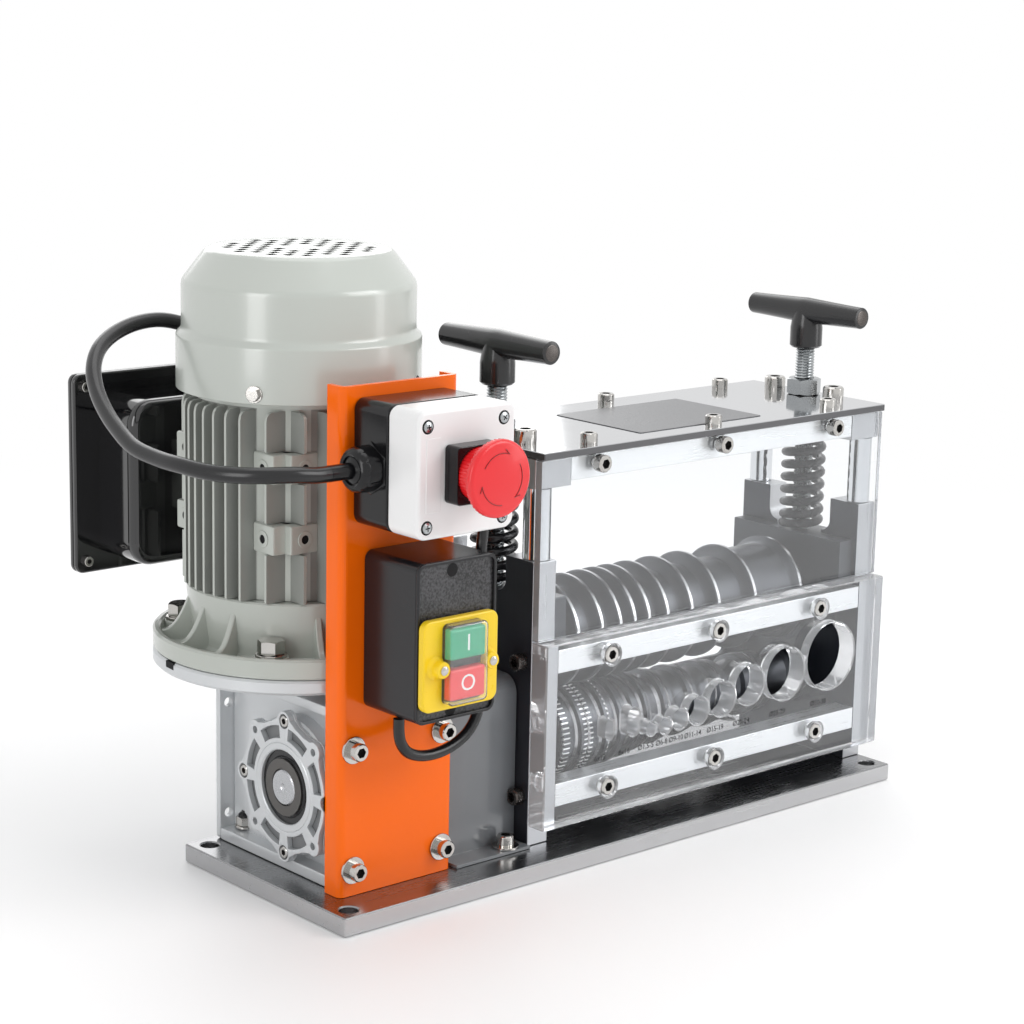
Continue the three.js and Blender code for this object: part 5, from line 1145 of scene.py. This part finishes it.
class MESH_OT_stripper_motor(bpy.types.Operator):
    """Builds the flanges, the finned motor frame and the fan cover"""

    bl_idname = "mesh.stripper_motor"
    bl_label = "Motor"

    def execute(self, context):
        settings = context.scene.stripper_drive
        FINISHES["motor_enamel"][1] = tuple(settings.motor_colour)
        for node, look in (
            ("rear_end_shield", "silver_paint"), ("rotor", "rotor_iron"), ("cooling_fan", "black_plastic"),
            ("capacitor", "black_plastic"),
        ):
            carried(node, look, 0.2)
        self.flanges()
        self.frame()
        self.fan_cover(settings.grille_cell)
        return {"FINISHED"}

    def flanges(self):
        """The gearbox's flange with a step under its rim, and the motor's with its bell and gussets."""
        profile = [
            (30, 110.3), (47, 110.3), (47, 116.2), (48.6, 118), (78.4, 118), (80, 119.6), (80, 124.8),
            (78.8, 126.1), (30, 126.1),
        ]
        flange = turned(profile, at=MOTOR, steps=128, loop=True)
        make("gearbox_flange", "silver_paint", [flange], "input_flange", smooth=28)
        profile = [
            (30, 126.5), (78.8, 126.5), (80, 127.7), (80, 136.2), (78.8, 137.4), (76.8, 137.4), (75.6, 136.4),
            (74.6, 132.4), (73.4, 131.6), (60.2, 131.6), (58.6, 133), (58.2, 136), (61.3, 157), (61.5, 162),
            (60.6, 162.9), (50, 162.9), (50, 134), (30, 134),
        ]
        parts = [turned(profile, at=MOTOR, steps=128, loop=True)]
        web = [(56, 131), (75.4, 131)]
        web += [(75.4 - 14.4 * k / 8, 137.0 + 18.5 * (k / 8) ** 2.1) for k in range(9)] + [(56, 155.5)]
        gusset = plate("y", web, [], (-1.7, 1.7), 0.5)
        bolt_circle, seat = 66.6, 136
        boss = turned(
            [(0, 130), (10, 130), (9.6, 135.4), (9.0, seat), (0, seat)], at=(bolt_circle, 0, 0), steps=48,
        )
        bolt = joined(hexagonal(13, (1.6, 9.1)), disc(3.9, 8.6, (0, 1.6)))
        bolts = []
        for k in range(16):
            turn = spun(MOTOR, 221 + 22.5 * k)
            parts.append(moved(gusset if k % 4 else boss, turn))
            if k % 4 == 0:
                bolts.append(moved(bolt, turn @ spun((bolt_circle, 0, seat), math.degrees(0.35 * k))))
        make("flange_bell", "motor_enamel", parts, "motor_flange", smooth=28, merge=False)
        make("flange_bolts", "nickel", bolts, smooth=28)
        # A dark box in the flange's notch is painted shade
        notch = box((76.5, 80.06), (-4.2, 4.2), (122.4, 126.15), 0.1, 1)
        make("flange_notch_shade", "hollow", [moved(notch, spun(MOTOR, 174))])

    def fin(self, side, sign, offset, span, reach):
        """A fin, thick at its root and thin at its edge, and rounded off where it ends below the cowl."""
        (a, b), (inner, out) = span, reach
        thick, thin = 1.4, 0.9
        top = 1.0 if b == FIN_TOP else 0.08
        outline = [(inner, a), (out - 0.6, a), (out, a + 0.6)]
        outline += [
            (out - top * back, b - top * drop) for back, drop in ((0, 5.0), (0.5, 2.4), (1.7, 0.7), (3.6, 0))
        ]
        outline.append((inner, b))
        rings = []
        for half in (-1, 1):
            ring = []
            for r, z in outline:
                share = min(1, max(0, (r - inner) / max(out - inner, 1)))
                across = offset + half * (thick + (thin - thick) * share)
                u, v = (sign * r, across) if side == "x" else (across, sign * r)
                ring.append((MOTOR_X + u, MOTOR_Y + v, z))
            rings.append(ring)
        return skinned(rings)

    def frame(self):
        """The finned frame with its mounting pads and terminal seat."""
        x, y = MOTOR_X, MOTOR_Y
        low, high, root, reach = 163.2, 269.9, 55.0, 63.0
        profile = [
            (45, low), (root, low), (root, 266.6), (root + 3, 267.0), (root + 3, 269.4), (root + 2.5, high),
            (45, high),
        ]
        parts = [turned(profile, at=MOTOR, steps=96, loop=True)]
        fins = []
        for side, pitch in (("x", 8.5), ("y", 7.7)):
            for offset in (share * pitch for share in (-4.5, -3, -2, -1, 0, 1, 2, 3, 4.5)):
                out = math.sqrt(max(reach**2 - offset**2, 0))
                inner = math.sqrt((root - 1) ** 2 - offset**2)
                # The outermost fins stop at the mounting pads
                spans = [(low, FIN_TOP)]
                if abs(offset) > 30:
                    spans = [(low, 189.6), (206.4, 227.6), (244.4, FIN_TOP)]
                for sign in (-1, 1):
                    # The terminal seat takes the place of those at the back
                    if side == "x" or sign < 0 or abs(offset) >= 24:
                        fins += [self.fin(side, sign, offset, span, (inner, out)) for span in spans]
        ridges = [spun(MOTOR, 221.4 + 90 * k) for k in range(4)]
        parts += [moved(box((54, 56.3), (-0.6, 0.6), (low, 262), 0.3), ridge) for ridge in ridges]
        # Thin dark strips along the ridges between the pads are painted shade in the gap
        holes = [moved(box((56.2, 56.5), (-0.3, 0.3), (low, 262), 0.05, 1), ridge) for ridge in ridges]
        for a, b in ((190, 206), (228, 244)):
            for sx in (-1, 1):
                for sy in (-1, 1):
                    pads = [((30, 50), (26.75, 45))]
                    bores = [(50 * sx, 36 * sy, (sx, 0, 0))]
                    if sy < 0:
                        pads.append(((24, 42), (30, 50)))
                        bores.append((33 * sx, 50 * sy, (0, sy, 0)))
                    for across, along in pads:
                        xs, ys = sorted(x + sx * u for u in across), sorted(y + sy * v for v in along)
                        parts.append(box(xs, ys, (a, b), 1.4))
                    for u, v, direction in bores:
                        place = (x + u, y + v, (a + b) / 2)
                        parts.append(put(disc(2.4, 4.6, (0, 0.5)), place, direction))
                        # A dark disc in each pad's bore is painted shade
                        holes.append(put(stub(2.5, 0.12), place, direction))
        parts.append(box((x - 24, x + 24), (y + 40, 108.7), (190, 230), 1.5))
        # The root between the fins, away from the corners, takes a darker finish: painted shade
        make(
            "finned_frame", "motor_enamel motor_shade", parts, "motor_frame", smooth=28, merge=False,
            choose=lambda normal, centre: (
                centre.z < 267 and abs(normal.z) < 0.1 and 53 < math.hypot(centre.x - x, centre.y - y) < 55.2
                and min(abs(centre.x - x), abs(centre.y - y)) < 26
            ),
        )
        # The flanks between the fins take a darker finish than the fins' edges: painted shade
        make(
            "motor_fins", "motor_enamel motor_shade", fins, smooth=28, merge=False,
            choose=lambda normal, centre: abs(normal.z) < 0.3 and 0.9 < abs(
                normal.y if abs(centre.x - x) > abs(centre.y - y) else normal.x
            ),
        )
        make("pad_hole_shade", "hollow", holes)

    def fan_cover(self, cell):
        """The pressed cover: a grille of square holes round a dimple, and a skirt with screws."""
        # The outside is turned; the crown inside the grille's radius is a plate with square holes
        profile = [
            (65.1, 270.3), (66.2, 270.3), (66.5, 270.6), (66.5, 298.5), (66.1, 299.8), (64.2, 301.6),
            (63.6, 303), (63.5, 304.5), (63.5, 325.5), (63.2, 327.6), (62.3, 329.4), (51.8, 343.2),
            (50.2, 344.8), (48.2, 345.5), (44.0, 345.5), (44.0, 344.1), (47.6, 344.1), (49.6, 343.2),
            (60.9, 328.4), (61.9, 325.5), (61.9, 303), (65.1, 299.0),
        ]
        shell = turned(profile, at=MOTOR, steps=128, loop=True)
        reach, half = int(42 / cell) + 1, cell * 0.41
        squares = []
        for i in range(-reach, reach + 1):
            for j in range(-reach, reach + 1):
                u, v = i * cell, j * cell
                far = math.hypot(abs(u) + half, abs(v) + half)
                near = math.hypot(u, v) - half * 1.4
                if (i + j) % 2 == 0 and far < 43 and near > 6.4:
                    (u0, u1), (v0, v1) = around(u, half), around(v, half)
                    squares.append([(u0, v0), (u1, v0), (u1, v1), (u0, v1)])
        grille = plate("z", circle(0, 0, 44.3, 96), squares, (344.9, 345.42))
        grille = moved(grille, Matrix.Translation(MOTOR))
        profile = [(0, 344.6), (5.8, 344.7), (6.8, 345.46), (7.2, 345.46), (7.2, 344.0), (0, 344.0)]
        dimple = turned(profile, at=MOTOR, steps=48)
        # The walls of the grille's square holes take the near-black finish: painted shade
        make(
            "fan_cowl", "cowl_enamel hollow", [shell, grille, dimple], "fan_cover", smooth=32, merge=False,
            choose=lambda normal, centre: (
                abs(normal.z) < 0.3 and centre.z > 344.5
                and math.hypot(centre.x - MOTOR_X, centre.y - MOTOR_Y) < 43.9
            ),
        )
        # A dark disc inside the cowl is painted shade
        make("cowl_painted_shade", "hollow", [put(stub(52, 336.0, 64, low=335.0), MOTOR)])
        head = joined(disc(1.0, 4.6, (0, 0.9)), hexagonal(6.4, (0.9, 3.4)))
        screws = []
        for turn in (math.radians(angle) for angle in (33, 123, 213, 303)):
            u, v = polar(66.4, turn)
            screws.append(put(head, (MOTOR_X + u, MOTOR_Y + v, 275.6), (*polar(1, turn), 0), 20))
        make("cowl_screws", "nickel", screws)


class MESH_OT_stripper_capacitor(bpy.types.Operator):
    """Builds the capacitor box, its lid and the lid's screws"""

    bl_idname = "mesh.stripper_capacitor"
    bl_label = "Capacitor box"

    def execute(self, context):
        body = rounded(around(MOTOR_X, 62), (163, 257), 14, 10)
        brim = rounded(around(MOTOR_X, 78), (155.5, 269), 5, 6)
        tray_hole, brim_hole = (rounded(around(MOTOR_X, 58), (167, 253), radius, 6) for radius in (10, 6))
        make("box_tray", "gloss_black", [
            plate("y", body, [tray_hole], (114.0, 145.2)),
            plate("y", body, [], (109.0, 120.0), 5.0, 5),
            plate("y", brim, [brim_hole], (143.6, 147.1), 1.2, 3),
        ], "capacitor_box", merge=False)
        make("box_lid", "gloss_black", [plate("y", brim, [], (147.2, 150.2), 0.8, 2)], "capacitor_box_lid")
        screw_set("box_screws", "box_socket_shade", [
            ((6, 2.6, 2.6), (x, 143.7, z), FRONT, z) for x in around(MOTOR_X, 71) for z in (162.5, 262)
        ])
        return {"FINISHED"}


# ---------------------------------------------------------------- controls


class MESH_OT_stripper_bracket(bpy.types.Operator):
    """Builds the powder coated control bracket and its four bolts"""

    bl_idname = "mesh.stripper_bracket"
    bl_label = "Control bracket"

    def execute(self, context):
        FINISHES["orange_enamel"][1] = tuple(context.scene.stripper_controls.bracket_colour)
        carried("control_bracket", "orange_enamel", 0.5)
        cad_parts["control_bracket"]["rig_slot"] = "orange_enamel"
        screw_set("bracket_bolts", "bracket_socket_shade", [
            ((10, 6, 5, 7.4), (x, BRACKET_FACE, z), FRONT, z) for x in (-191.6, -131.4) for z in (25.2, 91.6)
        ])
        return {"FINISHED"}


class MESH_OT_stripper_estop(bpy.types.Operator):
    """Builds the emergency stop: box, collar, mushroom head with its arrows, and gland"""

    bl_idname = "mesh.stripper_estop"
    bl_label = "Emergency stop"

    def execute(self, context):
        x, z = ESTOP
        face, bore = -101.4, circle(x, z, 11.3)
        square = rounded(around(x, 32), around(z, 33), 6)
        base = plate("y", square, [], (-76.7, BRACKET_FACE - 0.2), 1.0, 3)
        make("stop_base", "black_plastic", [base], "estop_base", smooth=32)
        pad = rounded((x - 27, x - 17.5), around(z, 19), 0.8, 2)
        pad = plate("y", pad, [], (face - 0.35, face + 0.1), 0.2)
        cover = plate("y", square, [bore], (face, -76.9), 2.0, 4)
        make("stop_cover", "white_plastic", [cover, pad], "estop_cover", smooth=32, merge=False)
        screws, wells = [], []
        for sx in (-26, 24):
            for sz in (-26.4, 25):
                place = (x + sx, face, z + sz)
                # Dark rings round the screw heads and dark slots in them are painted shade
                wells.append(fronted([(3.7, 0), (3.5, 0.08)], place))
                screws.append(fronted([(2.9, 0), (2.8, 0.5), (1.8, 1.0), (0, 1.15)], place))
                slot = box((-1.5, 1.5), (-0.3, 0.3), (0.6, 1.18), 0.05, 1)
                wells += [put(slot, place, FRONT, spin) for spin in (30 + sx, 120 + sx)]
        make("stop_screws", "zinc", screws)
        make("stop_well_shade", "hollow", wells)
        # The black collar has a round pocket that the head's skirt slides in
        pocket = (circle(x, z, 14.4, 64), circle(x, z, 11.3, 64), 6.6)
        square = rounded(around(x, 15), around(z, 15), 2.5, 5)
        collar = plate("y", square, [], (-111.6, -101.6), 0.5, 2, [pocket])
        make("stop_collar", "black_plastic", [collar], "estop_collar", smooth=32)
        low, high = corners("estop_stem")
        long = high.y - low.y - 0.1
        stem = fronted([(10.7, 0), (11, 0.4), (11, long)], (x, high.y, z), 48)
        make("stop_stem", "red_plastic", [stem], "estop_stem", "estop_plunger", 32)
        self.head()
        self.gland()
        return {"FINISHED"}

    def head(self):
        """The mushroom head, and three turning arrows drawn on it as thin arcs with a barb."""
        low, high = corners("estop_head")
        place, reach = (ESTOP[0], high.y, ESTOP[1]), high.y - low.y

        def ribbed(ring, k):
            """Fine ribs round the skirt and along the rim's back."""
            return 0.975 if ring in (1, 2, 5, 6) and k % 3 == 0 else 1.0

        profile = [
            (11.4, -6.3), (14.0, -6.3), (14.2, 2.4), (15.0, 3.2), (16.6, 4.2), (19.4, 6.4), (20, 7.0),
            (20, 8.6),
        ]
        rim = (polar(1, math.pi / 12 * k) for k in range(1, 7))
        profile += [(17.6 + 2.4 * c, 8.8 + 2.2 * s) for c, s in rim]
        profile += [(12, reach - 0.35), (6, reach - 0.12), (0, reach - 0.05), (0, 0.3), (11.4, 0.3)]
        head = put(turned(profile, steps=144, loop=True, wave=ribbed), place, FRONT)
        make("stop_head", "red_plastic", [head], "estop_head", "estop_knob", 40)
        arrows = []
        radius, sweep = 13.2, math.radians(80)
        for start in (math.radians(120 * k + 30) for k in range(3)):
            bow = [(radius, start - sweep * i / 14) for i in range(15)]
            barb = [(radius, start - sweep), (radius + 2, start - math.radians(68))]
            for line in (bow, barb):
                path = [(*polar(r, a), reach - 0.42 + 0.03 * (15.6 - r)) for r, a in line]
                arrows.append(put(tube(path, 0.26, 6), place, FRONT))
        make("stop_arrows", "dark_red", arrows, body="estop_knob", smooth=60)

    def gland(self):
        """The cable gland, with its hexagon, domed nut and rubber tip."""
        low, high = corners("cable_gland")
        y, z = CABLES["motor_cable"][1][0][1:]
        long = high.x - low.x

        def flute(ring, k):
            return 0.965 if ring in (1, 2, 3) and k % 6 == 0 else 1.0

        dome = [
            (0, 7.9), (11.6, 8.0), (12, 9), (12, 15), (11.4, 17.6), (10, 19.2), (8.6, 19.8), (7.6, 19.4),
            (7.2, 18.2), (0, 18.2),
        ]
        tip = [
            (3.8, 18.0), (6.9, 18.0), (6.7, 18.9), (5.2, 19.6), (4.28, 19.9), (4.28, long - 0.02),
            (3.8, long - 0.02),
        ]
        dome, tip = turned(dome, steps=72, wave=flute), turned(tip, steps=40, loop=True)
        parts = [put(part, (high.x, y, z), (-1, 0, 0)) for part in (hexagonal(24, (0, 8.0)), dome, tip)]
        make("gland", "black_plastic", parts, "cable_gland", merge=False)


class MESH_OT_stripper_switch(bpy.types.Operator):
    """Builds the switch box with its start and stop buttons under a clear cap"""

    bl_idname = "mesh.stripper_switch"
    bl_label = "Start and stop switch"

    def execute(self, context):
        FINISHES["yellow_plastic"][1] = tuple(context.scene.stripper_controls.frame_colour)
        x0, x1, z0, z1 = -185.4, -132.5, 113.6, 198.5
        wall, front = 1.8, -91.6
        outer = rounded((x0, x1), (z0, z1), 5)
        inner = rounded((x0 + wall, x1 - wall), (z0 + wall, z1 - wall), 3.6)
        body = plate("y", outer, [], (front, -49.2), 0.4)
        rim = plate("y", outer, [inner], (-93.2, front), 0.45, 2)
        make(
            "switch_body", "charcoal textured", [body, rim], "switch_box", smooth=32, merge=False,
            choose=lambda normal, centre: normal.y < -0.9 and centre.y > -92,
        )
        # Dark discs in the screw holes are painted shade
        make("switch_well_shade", "hollow", [
            fronted([(3.6, 0), (3.4, 0.1)], (-161.4, front, z)) for z in (192.8, 118.6)
        ])
        window = rounded((-171.9, -148.1), (125.6, 165.9), 1.2, 3)
        parts = [plate("y", rounded((-185, -135), (121, 169.5), 5), [window], (-98.0, -93.4), 1.0, 3)]
        post = [(6.4, 0), (5.4, 0.8), (4.6, 1.8), (4.4, 5.6), (3.9, 6.3)]
        parts += [fronted(post, (x, -98.0, 144.5), 40) for x in around(SWITCH_X, 16.4)]
        make("button_frame", "yellow_plastic", parts, "switch_frame", smooth=32, merge=False)
        pin = [(2.5, 0), (2.4, 0.5), (1.4, 0.86), (0, 0.88)]
        make("frame_pins", "nickel", [fronted(pin, (x, -104.3, 144.5)) for x in around(SWITCH_X, 16.4)])
        keyholes = [rounded((-171.8, -148.2), levels, 0.8, 2) for levels in ((148.3, 164.7), (126.8, 143.7))]
        bezel = plate("y", rounded((-172.2, -147.8), (125.2, 166.2), 1.2, 3), keyholes, (-99.5, -93.5))
        make("button_bezel", "black_plastic", [bezel])
        for name, look, text in (("start", "green_plastic", "I"), ("stop", "red_plastic", "O")):
            low, high = corners(f"{name}_button")
            outline = rounded((low.x + 0.02, high.x - 0.02), (low.z + 0.02, high.z - 0.02), 1.2, 3)
            button = plate("y", outline, [], (low.y + 0.1, high.y), 1.2, 3)
            make(f"{name}_cap", look, [button], f"{name}_button", f"{name}_key", 34)
            mark = words(text, 12.5, ((low.x + high.x) / 2, low.y + 0.08, (low.z + high.z) / 2), 0.12)
            make(f"{name}_mark", "white_ink", [mark], body=f"{name}_key", smooth=20)
        low, high = corners("switch_lens")
        cap = cup("y", rounded((low.x, high.x), (low.z, high.z), 3.0, 5), 0.8, (low.y, high.y), 1.4)
        make("clear_cap", "soft_clear", [cap], "switch_lens", smooth=40, merge=False)
        return {"FINISHED"}


class MESH_OT_stripper_tunnel(bpy.types.Operator):
    """Finishes the cover over the shaft's coupling and adds its screws"""

    bl_idname = "mesh.stripper_tunnel"
    bl_label = "Coupling cover"

    def execute(self, context):
        carried("tunnel_cover", "grey_enamel")
        places = [((10, 6, 5, 7.6), (-80.5, y, 12.6), UP, y) for y in (-45.5, 45.5)]
        screw_set("tunnel_screws", "tunnel_socket_shade", places)
        return {"FINISHED"}


# ---------------------------------------------------------------- stage


class SCENE_OT_stripper_stage(bpy.types.Operator):
    """Lays the pale floor and hangs the soft studio lights"""

    bl_idname = "scene.stripper_stage"
    bl_label = "Stage"

    def execute(self, context):
        settings = context.scene.stripper_stage
        floor = self.floor(context, settings.floor_colour)
        for name, place, width, height, share in (
            ("key_light", (1.1, -2.0, 1.5), 1.5, 1.5, 0.88),
            ("top_light", (0.3, 0.2, 2.1), 1.7, 1.7, 0.45),
            ("side_light", (-1.9, -0.35, 0.6), 0.6, 1.2, 0.33),
            ("strip_light", (0.85, -0.9, 0.6), 0.3, 1.1, 0.1),
            ("back_light", (0.9, 1.9, 1.3), 1.5, 1.5, 0.4),
        ):
            data = bpy.data.lights.new(name, "AREA")
            data.shape = "RECTANGLE"
            data.size, data.size_y = width, height
            data.energy = settings.key_power * share
            lamp = bpy.data.objects.new(name, data)
            lamp.location = place
            lamp.rotation_euler = (Vector((0, 0, 0.15)) - Vector(place)).to_track_quat("-Z", "Y").to_euler()
            context.scene.collection.objects.link(lamp)
        self.world(context, settings.world_strength)
        context.scene.view_settings.view_transform = "Standard"
        return {"FINISHED"}

    def floor(self, context, colour):
        """A pale floor that runs out into the white backdrop far from the object."""
        reach = 8
        mesh = bpy.data.meshes.new("floor")
        edge = ((-reach, -reach, 0), (reach, -reach, 0), (reach, reach, 0), (-reach, reach, 0))
        mesh.from_pydata(edge, [], [(0, 1, 2, 3)])
        floor = bpy.data.objects.new("floor", mesh)
        context.scene.collection.objects.link(floor)
        floor.location.z = -0.0002
        material = bpy.data.materials.new("floor")
        material.use_nodes = True
        tree = material.node_tree
        shader = tree.nodes["Principled BSDF"]
        wire(tree, shader, {"Roughness": 0.55, "Base Color": (*colour, 1)})
        place = add_node(tree, "TexCoord", "Object")
        far = add_node(tree, "VectorMath", "Value", {0: place}, operation="LENGTH")
        limits = {"From Min": 0.36, "From Max": 1.2}
        fade = add_node(
            tree, "MapRange", "Result", {"Value": far, **limits}, interpolation_type="SMOOTHSTEP",
        )
        white = add_node(tree, "Emission", "Emission", {"Color": (1, 1, 1, 1)})
        both = add_node(tree, "MixShader", "Shader", {"Fac": fade, 1: shader.outputs["BSDF"], 2: white})
        wire(tree, tree.nodes["Material Output"], {"Surface": both})
        mesh.materials.append(material)
        return floor

    def world(self, context, strength):
        """A soft studio whose brightness changes with the height."""
        world = bpy.data.worlds.new("studio")
        context.scene.world = world
        world.use_nodes = True
        tree = world.node_tree
        plain = tree.nodes["Background"]
        parts = add_node(
            tree, "SeparateXYZ", "Z", {"Vector": add_node(tree, "TexCoord", "Generated")},
        )
        shade = add_node(tree, "ValToRGB", "Color", {"Fac": parts})
        ramp = shade.node.color_ramp.elements
        ramp[0].position, ramp[0].color = 0.0, (0.8, 0.8, 0.8, 1)
        ramp[1].position, ramp[1].color = 1.0, (1, 1, 1, 1)
        for position, level in ((0.12, 0.55), (0.3, 0.4), (0.55, 0.8)):
            ramp.new(position).color = (level, level, level * 1.01, 1)
        wire(tree, plain, {"Strength": strength, "Color": shade})
        seen = add_node(tree, "Background", "Background", {"Color": (1, 1, 1, 1)})
        # Seen directly, through the guards or in a reflection, the backdrop is white
        path = add_node(tree, "LightPath", "Is Camera Ray").node.outputs
        direct = add_node(
            tree, "Math", "Value", {0: path["Is Camera Ray"], 1: path["Is Transmission Ray"]},
            operation="MAXIMUM",
        )
        rays = add_node(tree, "Math", "Value", {0: direct, 1: path["Is Glossy Ray"]}, operation="MAXIMUM")
        both = add_node(
            tree, "MixShader", "Shader", {"Fac": rays, 1: plain.outputs["Background"], 2: seen},
        )
        wire(tree, tree.nodes["World Output"], {"Surface": both})


# ---------------------------------------------------------------- sidebar and run


SETTINGS = (
    ("stripper_stage", StageSettings), ("stripper_head", HeadSettings), ("stripper_drive", DriveSettings),
    ("stripper_controls", ControlSettings),
)
OPERATORS = (
    SCENE_OT_stripper_camera, MESH_OT_stripper_cables, MESH_OT_stripper_base, MESH_OT_stripper_frame,
    MESH_OT_stripper_top, MESH_OT_stripper_guards, MESH_OT_stripper_rollers, MESH_OT_stripper_blades,
    MESH_OT_stripper_pressure, MESH_OT_stripper_gearbox, MESH_OT_stripper_motor, MESH_OT_stripper_capacitor,
    MESH_OT_stripper_bracket, MESH_OT_stripper_estop, MESH_OT_stripper_switch, MESH_OT_stripper_tunnel,
    SCENE_OT_stripper_stage,
)


class VIEW3D_PT_stripper(bpy.types.Panel):
    """Sizes and colours, and a button for each piece or group of pieces"""

    bl_label = "Wire Stripping Machine"
    bl_idname = "VIEW3D_PT_stripper"
    bl_space_type = "VIEW_3D"
    bl_region_type = "UI"
    bl_category = "Stripper"

    def draw(self, context):
        for attribute, group in SETTINGS:
            rows = self.layout.box()
            for name in group.__annotations__:
                rows.prop(getattr(context.scene, attribute), name)
        for operator in OPERATORS:
            self.layout.operator(operator.bl_idname)


def register():
    for attribute, group in SETTINGS:
        bpy.utils.register_class(group)
        setattr(bpy.types.Scene, attribute, bpy.props.PointerProperty(type=group))
    for operator in OPERATORS:
        bpy.utils.register_class(operator)
    bpy.utils.register_class(VIEW3D_PT_stripper)


def unregister():
    bpy.utils.unregister_class(VIEW3D_PT_stripper)
    for operator in reversed(OPERATORS):
        bpy.utils.unregister_class(operator)
    for attribute, group in SETTINGS:
        delattr(bpy.types.Scene, attribute)
        bpy.utils.unregister_class(group)


def main():
    register()
    for operator in OPERATORS:
        space, name = operator.bl_idname.split(".")
        getattr(getattr(bpy.ops, space), name)()


if __name__ == "__main__":
    main()
